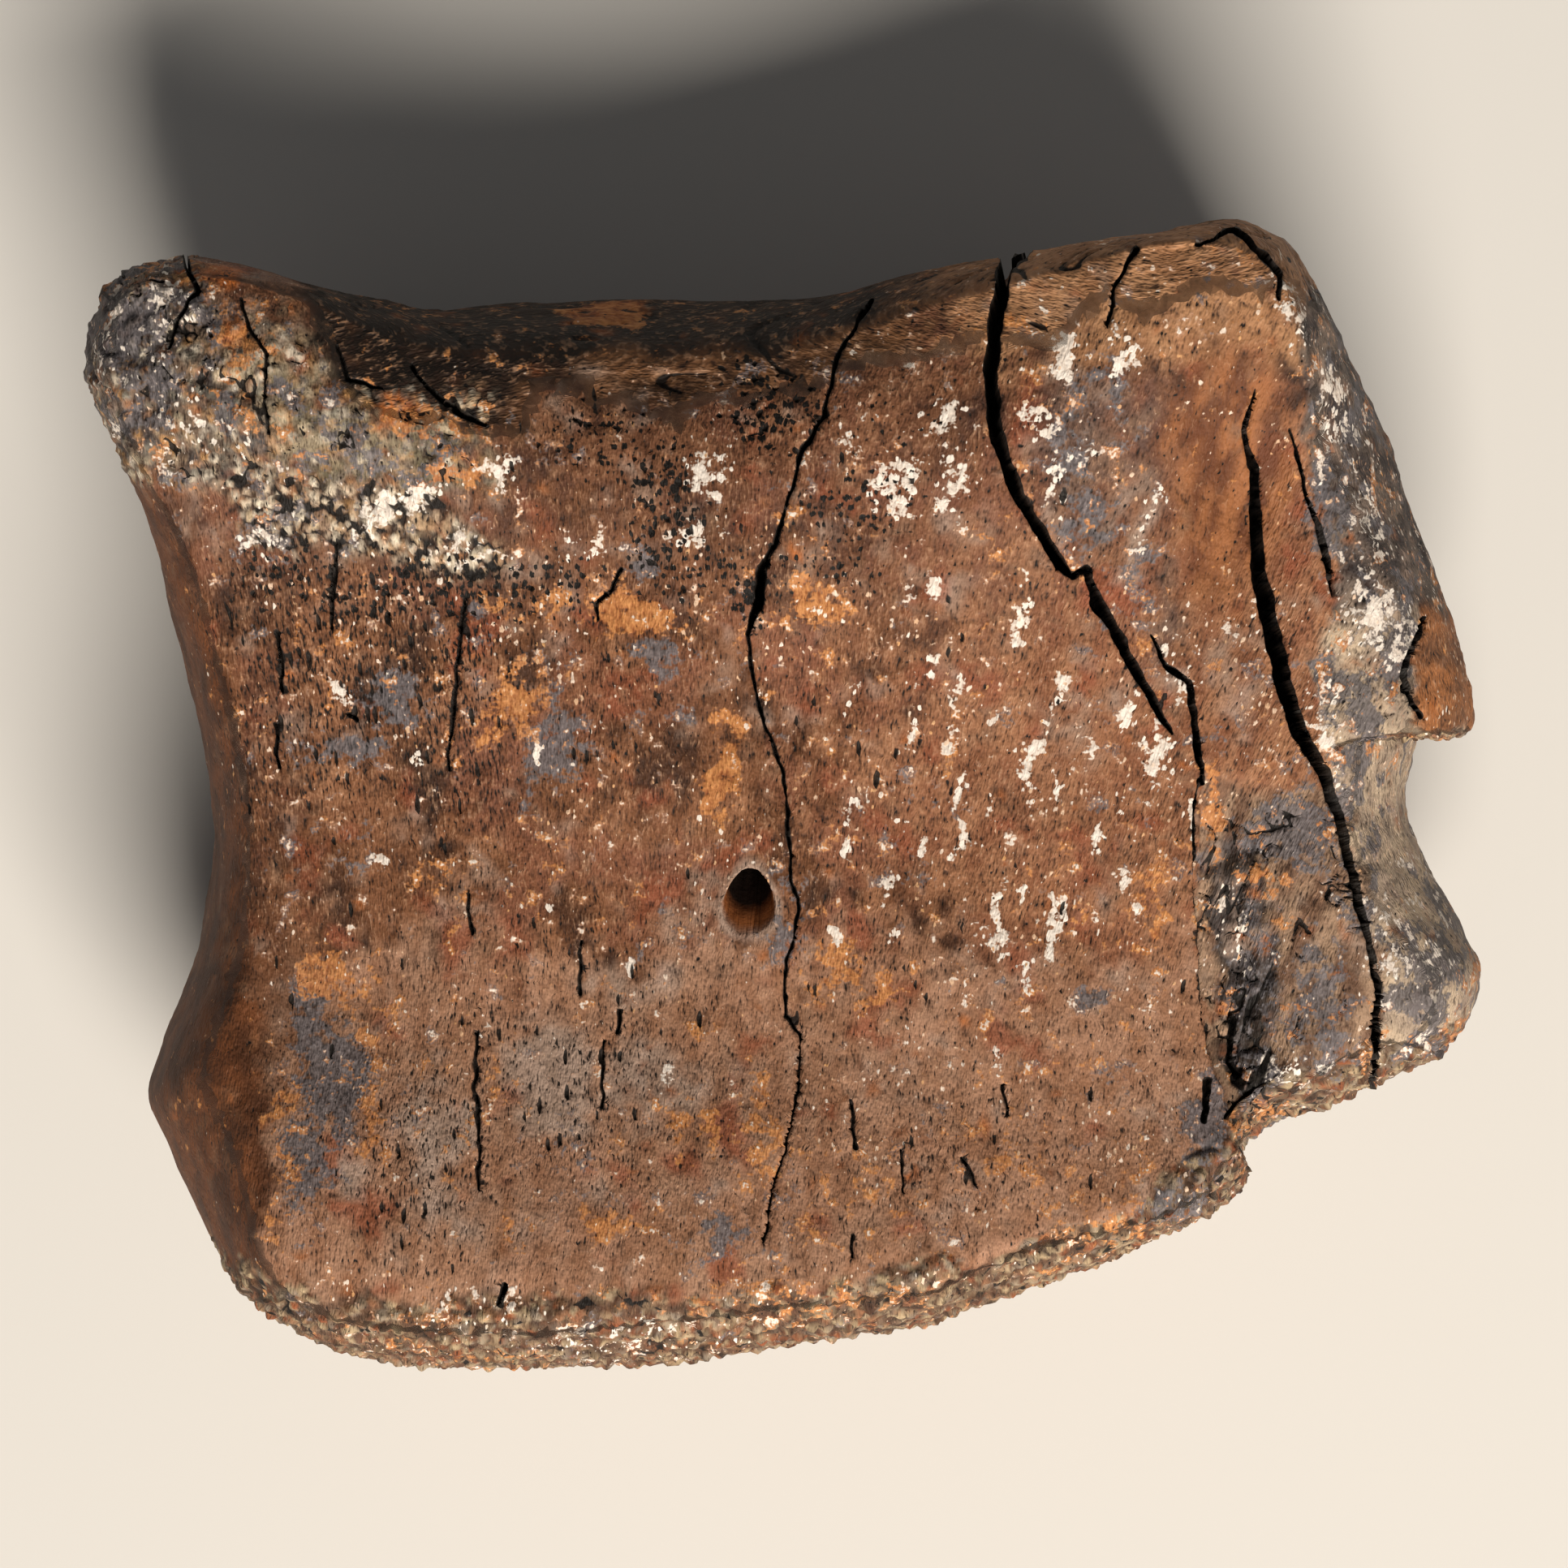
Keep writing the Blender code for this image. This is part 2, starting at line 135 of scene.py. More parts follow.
# Swellings and hollows of the back: centre x, y, half-lengths along x and y, height.
BACK_RELIEF: Rows = (
    (-4.0, -37.0, 62.0, 17.0, 6.8), (0.0, 26.0, 60.0, 13.0, 2.4), (-41.0, 31.5, 12.0, 8.0, 3.0),
    (-29.0, 26.5, 9.5, 6.5, 1.9), (29.0, 34.5, 14.0, 8.0, 3.0), (-10.0, 39.0, 21.0, 10.5, -6.0),
    (34.0, 21.5, 5.0, 9.5, -2.4), (12.0, 23.0, 13.0, 9.0, 0.8), (-18.0, 16.0, 11.0, 5.0, -0.7),
    (-34.0, -4.0, 8.0, 20.0, -1.0), (-36.0, -27.0, 8.0, 10.0, 0.9), (10.0, -12.0, 15.0, 9.0, 0.7),
)
# Worn pads that the bone stands on: centre x, y and half-lengths along x and y.
SOLE_PADS: Rows = (
    (-23.0, -22.0, 19.0, 11.0), (19.0, -18.0, 17.0, 10.0), (-25.0, 21.0, 15.0, 10.0),
    (19.0, 22.0, 15.0, 10.0),
)
# Hollows of the flanks and ends: centre x, y, z, half-lengths along x, y and z, then the push.
FLANK_HOLLOWS: tuple[tuple, ...] = (
    (-2.0, -43.0, 17.0, 33.0, 12.0, 8.5, (0.0, 4.0, 0.0)),
    (-48.0, 19.0, 16.0, 9.0, 8.0, 8.0, (3.0, 0.0, 0.0)),
    (47.0, 16.0, 12.0, 9.0, 8.0, 7.0, (-2.6, 0.0, 0.0)),
    (-8.0, 38.0, 8.0, 13.0, 9.0, 8.0, (0.0, -2.6, 0.0)),
)
# Slow unevenness: turns per metre along x, y and z, and the height of the wave.
WAVES: Rows = (
    (31.0, 44.0, 12.0, 0.15), (-52.0, 27.0, 38.0, 0.13), (66.0, -39.0, -24.0, 0.1),
    (15.0, 71.0, -47.0, 0.09),
)

# Cracks: the greatest depth, then x, y and the width of the gap along each.
CRACKS: dict[str, tuple[float, Rows]] = {
    "middle_crack": (6.0, (
        (6.9, 37.2, 0.3), (5.6, 35.3, 0.38), (4.4, 33.5, 0.3), (3.5, 29.9, 0.3), (2.6, 27.4, 0.3),
        (1.4, 25.6, 0.3), (0.5, 21.9, 0.27), (-0.5, 18.9, 0.34), (-1.4, 17.0, 0.64), (-1.7, 14.6, 0.92),
        (-2.6, 12.2, 0.3), (-2.3, 9.7, 0.3), (-1.7, 6.7, 0.34), (-1.1, 4.8, 0.23), (0.2, 1.8, 0.23),
        (0.5, -1.3, 0.27), (0.6, -4.9, 0.23), (1.2, -8.6, 0.27), (0.9, -10.4, 0.19), (0.2, -13.5, 0.23),
        (0.3, -16.5, 0.23), (1.4, -18.0, 0.15), (1.4, -20.8, 0.15), (0.9, -23.8, 0.14), (0.2, -26.9, 0.14),
        (-0.8, -29.9, 0.14), (-1.4, -33.6, 0.14),
    )),
    "wide_crack": (9.0, (
        (17.5, 42.1, 0.98), (16.9, 40.2, 1.04), (16.6, 38.4, 1.1), (16.0, 35.3, 1.16), (15.8, 31.1, 1.1),
        (16.0, 28.0, 1.1), (16.6, 25.6, 1.04), (17.8, 22.5, 0.98), (19.4, 19.8, 0.92), (20.9, 17.2, 0.85),
        (21.7, 16.3, 0.37), (23.0, 17.0, 0.55), (23.6, 14.6, 0.92), (25.5, 11.6, 0.92), (26.7, 9.1, 0.79),
        (28.5, 6.1, 0.55), (29.4, 4.5, 0.24),
    )),
    "crack_spur": (3.0, ((16.9, 39.6, 0.61), (18.3, 40.4, 0.55), (19.1, 41.4, 0.37))),
    "forked_crack": (6.0, (
        (27.9, 11.9, 0.24), (28.8, 9.7, 0.43), (30.7, 8.5, 0.49), (31.0, 6.1, 0.61), (31.3, 3.0, 0.55),
        (31.8, 0.9, 0.3),
    )),
    "break_seam": (2.0, (
        (31.4, 1.2, 0.3), (31.0, -1.3, 0.24), (31.1, -4.9, 0.3), (31.0, -7.4, 0.24), (31.6, -13.5, 0.3),
        (31.8, -17.1, 0.37), (32.5, -19.6, 0.3),
    )),
    "edge_crack": (11.0, (
        (35.5, 30.5, 0.18), (34.7, 27.4, 0.37), (35.5, 24.4, 0.67), (35.7, 20.7, 0.92), (35.8, 17.0, 1.22),
        (36.8, 12.8, 1.34), (37.7, 8.5, 1.28), (38.9, 4.8, 1.16), (40.7, 1.8, 0.98), (41.9, -1.3, 0.92),
        (42.9, -6.1, 0.67), (43.5, -8.6, 0.61), (44.4, -11.6, 0.55), (45.0, -14.7, 0.55),
        (44.7, -18.9, 0.49), (44.4, -22.0, 0.37),
    )),
    "side_crack": (4.0, (
        (38.3, 27.4, 0.2), (39.2, 23.1, 0.37), (40.1, 20.7, 0.55), (41.0, 17.7, 0.61), (41.4, 14.9, 0.3),
    )),
    "knob_crack": (3.0, (
        (-44.9, 40.5, 0.3), (-43.9, 37.8, 0.37), (-44.6, 36.6, 0.3), (-45.6, 35.3, 0.3), (-46.1, 33.4, 0.2),
    )),
    "knob_hairline": (1.4, (
        (-40.5, 37.2, 0.24), (-40.1, 35.3, 0.24), (-38.6, 32.9, 0.21), (-38.9, 29.2, 0.2),
        (-38.6, 27.1, 0.2),
    )),
    "tip_crack": (2.5, ((26.7, 41.1, 0.3), (25.8, 39.3, 0.3), (24.9, 37.8, 0.27), (24.6, 35.0, 0.2))),
    "corner_crack": (4.0, (
        (31.3, 41.4, 0.3), (34.0, 42.4, 0.49), (35.8, 40.8, 0.61), (37.4, 39.0, 0.55), (37.5, 37.3, 0.3),
    )),
    "band_crack": (1.5, ((-33.4, 33.8, 0.37), (-32.5, 31.1, 0.37), (-30.0, 30.5, 0.24))),
    "band_crack_end": (1.5, (
        (-27.9, 32.3, 0.3), (-25.8, 29.9, 0.43), (-23.0, 28.0, 0.49), (-22.1, 27.7, 0.24),
    )),
    "flake_seam": (2.4, (
        (48.2, 13.4, 0.2), (47.3, 10.6, 0.4), (46.7, 8.8, 0.55), (47.3, 7.2, 0.5), (48.3, 5.8, 0.3),
    )),
    "notch_crease": (1.6, ((33.4, -24.2, 0.2), (34.4, -23.0, 0.3), (35.6, -22.0, 0.34), (37.2, -21.3, 0.2))),
    "rim_slot": (2.0, ((-20.8, -36.9, 0.49), (-21.1, -38.2, 0.43))),
    "hook": (1.6, ((-12.0, 17.0, 0.37), (-12.8, 15.5, 0.3), (-13.9, 14.3, 0.3), (-13.7, 13.1, 0.24))),
    "left_slit": (1.6, ((-33.5, 18.8, 0.24), (-33.7, 15.8, 0.43), (-33.8, 12.5, 0.24))),
    "long_slit": (1.6, ((-23.8, 14.9, 0.3), (-24.6, 7.9, 0.37), (-25.0, 1.8, 0.2))),
    "pale_slit": (1.4, (
        (-22.8, -17.7, 0.24), (-23.0, -22.0, 0.3), (-22.7, -25.7, 0.3), (-22.8, -29.6, 0.2),
    )),
    "upper_slit": (1.2, ((-23.6, -7.4, 0.24), (-23.3, -10.4, 0.24))),
    "near_slit": (1.2, ((-13.3, -18.6, 0.24), (-13.5, -23.5, 0.24))),
    "low_slit": (1.2, ((5.3, -22.9, 0.24), (5.6, -26.6, 0.3))),
    "low_right_slit": (1.2, ((9.0, -26.6, 0.24), (9.2, -29.8, 0.21))),
    "slant_slit": (1.2, ((13.6, -27.4, 0.24), (14.6, -29.2, 0.21))),
    "right_slit": (1.2, ((16.6, -21.7, 0.24), (17.0, -24.1, 0.24))),
    "side_slit": (1.2, ((-37.7, 12.2, 0.3), (-37.4, 7.6, 0.24))),
    "side_slit_low": (1.2, ((-38.0, 5.2, 0.3), (-37.7, 2.1, 0.3))),
    "dark_slit": (1.2, ((-32.5, 6.1, 0.43), (-31.9, 5.5, 0.3))),
    "bottom_slit": (1.2, ((5.3, -33.0, 0.3), (5.3, -34.8, 0.24))),
    "mid_slit": (1.2, ((-15.0, -11.0, 0.24), (-15.2, -15.0, 0.24))),
    "mid_slit_low": (1.2, ((-12.0, -16.2, 0.3), (-12.4, -18.0, 0.2))),
    "broken_slit": (1.6, ((34.3, -16.5, 0.49), (34.1, -19.6, 0.49), (34.9, -20.8, 0.37))),
    "broken_slit_low": (1.6, ((32.1, -21.4, 0.55), (31.8, -24.4, 0.49))),
}
# The edge along which a slab broke off: x, y and the step down to the right of it.
BREAK_LINE: Rows = (
    (31.6, 1.6, 0.2), (31.4, -2.0, 1.3), (31.0, -7.0, 1.9), (31.3, -13.0, 2.3), (32.3, -20.0, 2.4),
    (34.6, -26.4, 2.1), (37.0, -33.0, 1.6),
)

# Patches as ovals: x, y, half-lengths across and along, turn in degrees and strength.
PATCHES: dict[str, Rows] = {
    "ochre": (
        (-34.3, -13.5, 2.0, 2.8, -10, 1.0), (-31.5, -18.0, 0.9, 3.0, -10, 0.9),
        (-30.6, -24.4, 1.2, 2.8, 0, 0.75), (-37.5, -23.4, 1.2, 1.8, 0, 0.9),
        (-39.6, -30.0, 1.8, 1.6, 0, 0.7), (-19.4, -32.4, 0.8, 2.2, 0, 0.75),
        (-1.8, -23.4, 1.4, 3.0, 0, 0.6), (-4.3, 1.8, 1.2, 3.8, 8, 1.0), (-11.1, 13.4, 3.8, 2.1, 0, 0.95),
        (2.3, 14.0, 2.4, 1.7, 0, 0.75), (-13.6, -31.8, 2.2, 1.3, 0, 0.8), (5.3, -13.5, 3.7, 2.9, 0, 0.7),
        (-20.3, 6.4, 2.1, 3.7, 15, 0.8), (-24.6, 23.8, 2.2, 1.5, 0, 0.8), (-27.0, 28.0, 2.8, 1.8, 0, 0.7),
        (-40.4, 33.8, 2.4, 1.7, 0, 0.8), (-6.9, -25.0, 2.7, 2.4, 0, 0.55), (-37.7, -26.6, 2.1, 5.5, 0, 0.5),
        (-13.0, 35.7, 2.6, 1.0, 0, 1.5), (32.8, -1.9, 1.3, 3.4, 0, 0.8), (36.4, -6.6, 1.5, 1.3, 0, 0.8),
        (35.8, -24.7, 2.7, 1.6, 0, 0.8), (50.8, -18.6, 1.2, 2.4, 0, 0.8), (52.0, -12.8, 0.7, 1.6, 0, 0.8),
        (50.2, 10.9, 2.2, 5.5, 0, 0.9), (44.4, 9.1, 0.9, 2.1, 0, 0.6), (27.9, -9.2, 1.8, 4.9, 0, 0.45),
        (-25.5, -6.4, 2.1, 2.1, 0, 0.5), (-19.1, 14.6, 5.5, 1.5, 0, 0.5), (-38.6, -32.4, 2.4, 1.8, 0, 0.5),
        (5.9, -29.9, 5.5, 3.7, 0, 0.35), (17.5, -26.9, 4.9, 3.7, 0, 0.4), (25.5, -31.8, 3.7, 2.4, 0, 0.5),
        (-2.0, -26.9, 1.8, 3.7, 0, 0.45), (16.3, 35.3, 4.3, 1.2, -10, 0.45), (7.2, 25.6, 2.4, 1.8, 0, 0.35),
        (-0.2, -37.9, 9.8, 1.3, 0, 0.5), (-24.6, -39.1, 5.5, 1.2, 0, 0.35),
    ),
    "slate": (
        (-49.7, 35.8, 2.8, 3.7, 0, 1.0), (-47.7, 31.1, 2.4, 2.7, 0, 0.75), (-28.8, 7.4, 2.6, 2.4, 0, 0.9),
        (-32.6, 3.6, 3.3, 1.0, 0, 0.8), (-35.4, -15.9, 1.6, 3.5, 0, 1.0), (-33.9, -20.6, 2.8, 3.6, 0, 1.1),
        (-36.2, -27.6, 2.5, 3.4, 0, 0.9), (-9.9, 10.9, 2.0, 1.5, 0, 0.8), (-17.2, 3.3, 2.2, 4.0, 10, 0.75),
        (-22.7, 13.6, 1.0, 0.8, 0, 1.0), (22.9, 20.7, 2.7, 2.4, 20, 0.75), (21.7, 25.0, 1.8, 3.0, 0, 0.6),
        (-9.2, 17.4, 2.1, 1.1, 0, 0.6), (-3.8, -33.0, 2.7, 1.8, 0, 0.6), (23.8, -15.2, 1.2, 1.2, 0, 0.9),
        (0.0, -9.2, 1.8, 4.0, 0, 0.55), (38.3, -2.8, 3.4, 2.9, 0, 0.9), (35.8, -13.5, 1.5, 5.5, 0, 0.6),
        (40.4, -15.9, 2.4, 4.9, 0, 0.7), (41.3, 21.9, 2.1, 4.0, 0, 0.75), (45.0, 13.4, 2.4, 3.7, 0, 0.5),
        (49.0, -13.8, 2.8, 3.4, 0, 0.85), (31.9, -24.7, 1.7, 3.4, 0, 0.9), (29.1, -30.8, 2.7, 1.6, 0, 0.7),
        (36.4, -21.4, 2.1, 2.8, 0, 0.7), (-33.1, -24.4, 3.7, 2.4, 0, 0.45), (-38.0, 20.1, 3.7, 1.8, 0, 0.6),
        (31.6, 38.4, 1.0, 1.6, 0, 0.5), (25.5, 27.4, 2.4, 1.5, 0, 0.4), (-24.6, 30.5, 3.7, 1.8, -30, 0.4),
        (-5.9, -33.6, 2.4, 1.8, 0, 0.35), (-16.0, -26.9, 1.8, 3.7, 0, 0.3), (-27.0, 23.8, 3.0, 2.1, 0, 0.5),
        (24.2, 31.2, 2.2, 3.0, 0, 0.62), (21.8, 27.2, 2.0, 2.0, 0, 0.6), (27.6, 17.0, 1.6, 3.4, 15, 0.5),
    ),
    "ash": (
        (-40.4, 31.1, 5.9, 5.1, -10, 0.9), (-32.5, 26.8, 7.3, 3.3, -15, 1.0),
        (-27.0, 24.7, 4.6, 2.8, 0, 0.9), (-44.1, 33.5, 3.7, 3.7, 0, 0.55), (-34.3, 21.9, 3.7, 1.8, 0, 0.6),
        (-40.4, 25.6, 3.7, 3.0, 0, 0.6),
    ),
    "pale": (
        (-17.2, -21.4, 3.2, 4.9, 0, 1.0), (-25.8, -25.7, 2.8, 3.2, 0, 0.9),
        (-25.8, -30.5, 2.4, 3.0, 0, 0.7), (-32.0, -28.7, 1.5, 1.3, 0, 0.9),
        (-11.1, -14.4, 4.0, 1.7, 0, 0.6), (-23.6, -31.8, 2.4, 2.4, 0, 0.5), (14.5, -13.5, 3.7, 3.7, 0, 0.3),
        (8.4, -22.0, 3.7, 3.7, 0, 0.3), (26.7, 19.5, 1.0, 3.7, 12, 0.9), (22.4, 4.8, 3.0, 4.3, 15, 0.35),
        (13.3, 21.9, 3.0, 3.7, 0, 0.3), (-5.0, -8.0, 1.8, 3.0, 0, 0.35), (13.3, -30.5, 5.5, 2.4, 0, 0.35),
        (-9.5, -21.8, 7.0, 3.2, 0, 0.66), (34.0, 8.0, 2.6, 5.0, 0, 0.5),
    ),
    "chalk": (
        (21.2, 32.9, 1.6, 2.0, -10, 0.95), (25.5, 32.9, 1.2, 1.8, 10, 0.95), (18.8, 27.9, 1.6, 1.2, 0, 0.9),
        (20.6, 23.5, 0.9, 2.0, 10, 0.9), (23.5, 25.5, 1.5, 1.0, 0, 0.9), (12.0, 28.3, 2.8, 1.8, 0, 0.7),
        (8.4, 23.1, 2.1, 2.2, 20, 0.8), (13.1, 24.1, 2.1, 2.7, 10, 0.75), (-5.6, 24.4, 2.1, 1.0, -10, 0.85),
        (-21.2, 24.7, 1.8, 1.2, 0, 0.85), (-28.2, 21.6, 4.3, 1.3, -20, 0.85),
        (-38.6, 19.5, 2.7, 1.5, 0, 0.7), (11.0, 16.3, 0.7, 1.3, 0, 0.9), (18.3, 14.3, 0.8, 3.0, 12, 0.8),
        (27.3, 20.7, 0.7, 2.7, 12, 0.8), (34.6, 12.8, 2.4, 3.0, 10, 0.65), (26.2, -6.9, 0.8, 1.5, 8, 0.95),
        (-33.1, 8.0, 0.7, 0.9, 0, 0.95), (-30.2, -4.3, 0.7, 0.9, 0, 0.95), (27.0, 7.1, 0.8, 0.7, 0, 1.0),
        (27.3, 2.8, 0.9, 0.6, 0, 1.0), (29.2, 8.2, 0.5, 1.0, 0, 0.9), (28.2, 3.0, 2.1, 3.0, 0, 0.6),
        (10.3, 8.8, 0.7, 0.8, 0, 1.0), (8.3, -6.7, 0.5, 0.6, 0, 1.0), (-6.3, -1.9, 0.6, 1.1, 10, 0.8),
        (-6.9, 19.8, 1.5, 1.8, 0, 0.7), (-23.9, 17.7, 2.4, 2.2, 0, 0.6), (6.1, 26.5, 1.6, 1.5, 0, 0.7),
        (-18.2, -7.9, 0.6, 0.7, 0, 0.95), (38.3, 34.1, 1.0, 2.4, 0, 0.6), (41.3, 29.2, 1.3, 4.3, -25, 0.7),
        (44.4, 20.7, 1.5, 3.7, -20, 0.65), (44.8, 13.5, 2.2, 4.2, -20, 0.75),
        (38.3, 36.4, 1.0, 2.6, -28, 0.85), (34.6, -9.8, 1.3, 2.7, 0, 0.6), (47.4, -12.2, 3.7, 2.4, 0, 0.55),
        (40.1, 6.1, 1.5, 2.2, 0, 0.55), (38.3, -20.8, 3.7, 1.6, -15, 0.6), (-43.5, 28.0, 2.1, 1.0, 0, 0.6),
        (-46.5, 32.9, 1.2, 1.0, 0, 0.5), (-23.3, -39.1, 5.5, 2.1, 0, 0.4),
        (-12.4, -40.9, 6.7, 1.5, 0, 0.45), (-2.6, -37.9, 3.7, 1.8, 0, 0.35),
        (-22.1, 33.8, 2.4, 0.6, -20, 0.5), (-14.8, 18.3, 3.0, 1.2, 0, 0.45),
        (-24.6, 28.9, 2.4, 0.9, -20, 0.55), (30.3, 10.9, 1.8, 3.7, 10, 0.5),
        (14.5, -12.2, 2.4, 3.7, 10, 0.35), (31.6, 15.2, 1.5, 2.4, 0, 0.5),
    ),
    "spongy": (
        (-0.8, 29.2, 4.0, 3.4, 0, 1.0), (-8.7, 21.3, 3.2, 4.8, 0, 1.0), (-13.6, 26.8, 3.7, 2.4, 0, 0.7),
        (-23.9, 15.5, 9.2, 2.2, 0, 0.85), (-30.7, 14.9, 3.7, 2.1, 0, 0.8), (-2.3, 15.5, 2.2, 2.7, 0, 0.95),
        (5.6, 21.9, 3.9, 3.0, 0, 0.7), (-16.6, 15.8, 3.7, 2.4, 0, 0.8), (-37.4, 17.0, 3.7, 2.4, 0, 0.7),
        (3.5, 17.0, 3.7, 1.8, 0, 0.5), (-6.3, 17.0, 3.7, 3.7, 0, 0.6), (9.6, 28.0, 3.7, 2.4, 0, 0.4),
    ),
    "nodules": (
        (-36.1, 21.0, 5.1, 2.6, 0, 1.0), (-29.4, 20.7, 5.1, 2.4, 10, 1.0), (-24.6, 17.7, 3.9, 2.2, 0, 0.9),
        (-40.4, 23.1, 2.4, 2.4, 0, 0.6), (-24.6, 29.2, 3.0, 1.3, -30, 0.6), (-31.3, 25.6, 3.7, 1.8, 0, 0.4),
    ),
    "slits": (
        (-33.1, 9.1, 7.9, 9.2, 0, 1.3), (-24.6, 7.3, 4.9, 10.4, 0, 1.3), (-39.2, 7.9, 3.7, 12.2, 0, 1.0),
        (-27.0, -27.5, 6.1, 7.9, 0, 1.0), (-13.6, -22.6, 4.9, 7.9, 0, 0.9),
        (-22.1, -19.6, 4.3, 9.8, 0, 0.8), (-6.3, -19.6, 4.9, 7.3, 0, 0.5), (13.3, -26.9, 9.2, 4.9, 0, 0.6),
        (-16.0, -12.2, 4.3, 4.9, 0, 0.6), (-35.5, -26.9, 3.7, 7.3, 0, 0.5), (7.2, -16.5, 7.3, 9.2, 0, 0.4),
        (-12.4, 7.3, 5.5, 6.7, 0, 0.5), (26.7, -19.6, 4.9, 7.3, 0, 0.3), (7.8, 1.2, 11.0, 11.0, 0, 0.3),
        (23.6, 20.7, 5.5, 3.7, 0, 0.3),
    ),
}
# Ovals of broad colour, which also run down over the rim: the same numbers.
TINTED_OVALS: dict[str, Rows] = {
    "haze": (
        (22.4, 25.5, 3.2, 6.5, -8, 1.0), (26.5, 27.0, 2.2, 6.0, 5, 0.8), (29.5, 14.0, 2.0, 6.0, 15, 0.7),
    ),
    # Orange iron stains on the tip edge, real stains brightened as painted light because the edge there lies
    # in shade.
    "iron_stain_and_painted_light": (
        (-13.2, 36.0, 2.0, 0.9, -5, 1.3), (-43.4, 39.0, 2.4, 0.8, 0, 1.1), (-41.2, 34.6, 1.6, 1.7, 0, 0.9),
        (-29.1, 28.8, 2.2, 1.2, 0, 0.9),
    ),
    "pit": ((34.0, 24.0, 4.2, 9.5, 8, 1.0), (30.6, 29.0, 2.5, 4.0, 30, 0.8)),
    "shade": ((-39.0, -5.0, 3.5, 24.0, 0, 0.9), (-18.0, 19.0, 26.0, 5.0, 5, 0.6)),
}
# Thin streaks of chalk that follow the fibres: x and y of both ends, half width and strength.
CHALK_STREAKS: Rows = (
    (19.0, 15.4, 18.0, 13.4, 0.4, 1.3), (18.1, 13.8, 17.5, 11.3, 0.36, 1.3),
    (11.7, 10.6, 10.8, 8.3, 0.22, 1.3), (5.8, 8.8, 5.1, 7.0, 0.22, 1.2), (5.1, 7.0, 4.5, 5.0, 0.28, 1.4),
    (10.5, 6.8, 10.0, 5.2, 0.25, 1.4), (10.0, 5.2, 9.6, 3.6, 0.22, 1.2), (13.6, 8.9, 12.9, 6.6, 0.24, 1.4),
    (12.7, 5.6, 12.3, 3.3, 0.24, 1.4), (20.9, 8.8, 20.4, 5.9, 0.26, 1.5), (21.3, 8.8, 21.2, 7.1, 0.24, 1.4),
    (19.9, 5.1, 18.9, 3.2, 0.3, 1.6), (18.9, 3.2, 18.3, 1.4, 0.3, 1.6), (18.7, 1.7, 18.6, -0.7, 0.26, 1.5),
    (13.7, 1.6, 12.8, -1.1, 0.3, 1.6), (15.9, 0.0, 15.4, -2.1, 0.24, 1.4), (6.3, 0.0, 5.3, -0.7, 0.3, 1.5),
    (5.3, -0.7, 5.0, -2.4, 0.28, 1.4), (5.0, -3.4, 4.7, -4.4, 0.34, 1.4),
    (13.8, -2.1, 13.5, -3.5, 0.28, 1.5), (13.5, -3.5, 12.7, -4.9, 0.26, 1.5),
    (14.4, -3.6, 14.3, -4.3, 0.28, 1.2), (10.8, -2.8, 10.5, -4.5, 0.24, 1.3),
    (17.1, -6.2, 16.0, -8.1, 0.28, 1.5), (16.1, -8.1, 16.7, -12.0, 0.28, 1.5),
    (18.3, -7.2, 18.1, -8.3, 0.22, 1.3), (20.3, -7.8, 20.4, -10.0, 0.28, 1.5),
    (20.4, -10.0, 20.2, -12.1, 0.3, 1.6), (21.3, -8.0, 21.0, -10.1, 0.26, 1.5),
    (18.8, -12.3, 18.4, -14.2, 0.28, 1.5), (23.6, -2.3, 23.5, -5.1, 0.27, 1.4),
    (24.4, -3.0, 24.3, -4.2, 0.23, 1.2), (25.4, 0.6, 25.3, -1.3, 0.28, 1.4),
    (26.6, -8.3, 26.7, -10.2, 0.27, 1.4), (30.8, -0.3, 30.9, -3.2, 0.26, 1.2),
    (26.1, 6.0, 25.9, 5.2, 0.3, 1.3), (8.0, -7.0, 7.7, -8.1, 0.22, 1.2),
    (8.3, -10.4, 8.4, -11.6, 0.24, 1.3), (4.2, -10.1, 4.1, -11.3, 0.26, 1.3),
    (23.3, 4.4, 23.5, 2.7, 0.23, 1.3), (20.8, 1.9, 20.7, -0.3, 0.21, 1.2),
    (23.7, -8.7, 23.8, -10.6, 0.22, 1.1), (9.3, -1.3, 8.9, -2.8, 0.22, 1.2),
    (16.0, 5.6, 15.4, 5.3, 0.3, 1.4), (33.9, 27.0, 32.5, 23.6, 0.22, 1.3),
    (28.5, 22.6, 27.4, 19.0, 0.34, 1.1), (-27.5, 3.9, -27.7, 2.1, 0.3, 1.2),
    (-22.2, -17.0, -22.2, -18.0, 0.26, 1.3), (-8.8, -20.9, -8.9, -22.2, 0.28, 1.4),
    (-11.3, -12.6, -11.4, -13.5, 0.26, 1.3), (28.5, 4.5, 28.3, 3.3, 0.32, 1.3),
    (-18.5, 3.4, -18.5, 2.4, 0.34, 1.2), (16.4, -19.3, 16.1, -21.0, 0.22, 1.2),
    (9.6, -17.2, 9.5, -18.6, 0.22, 1.1),
)
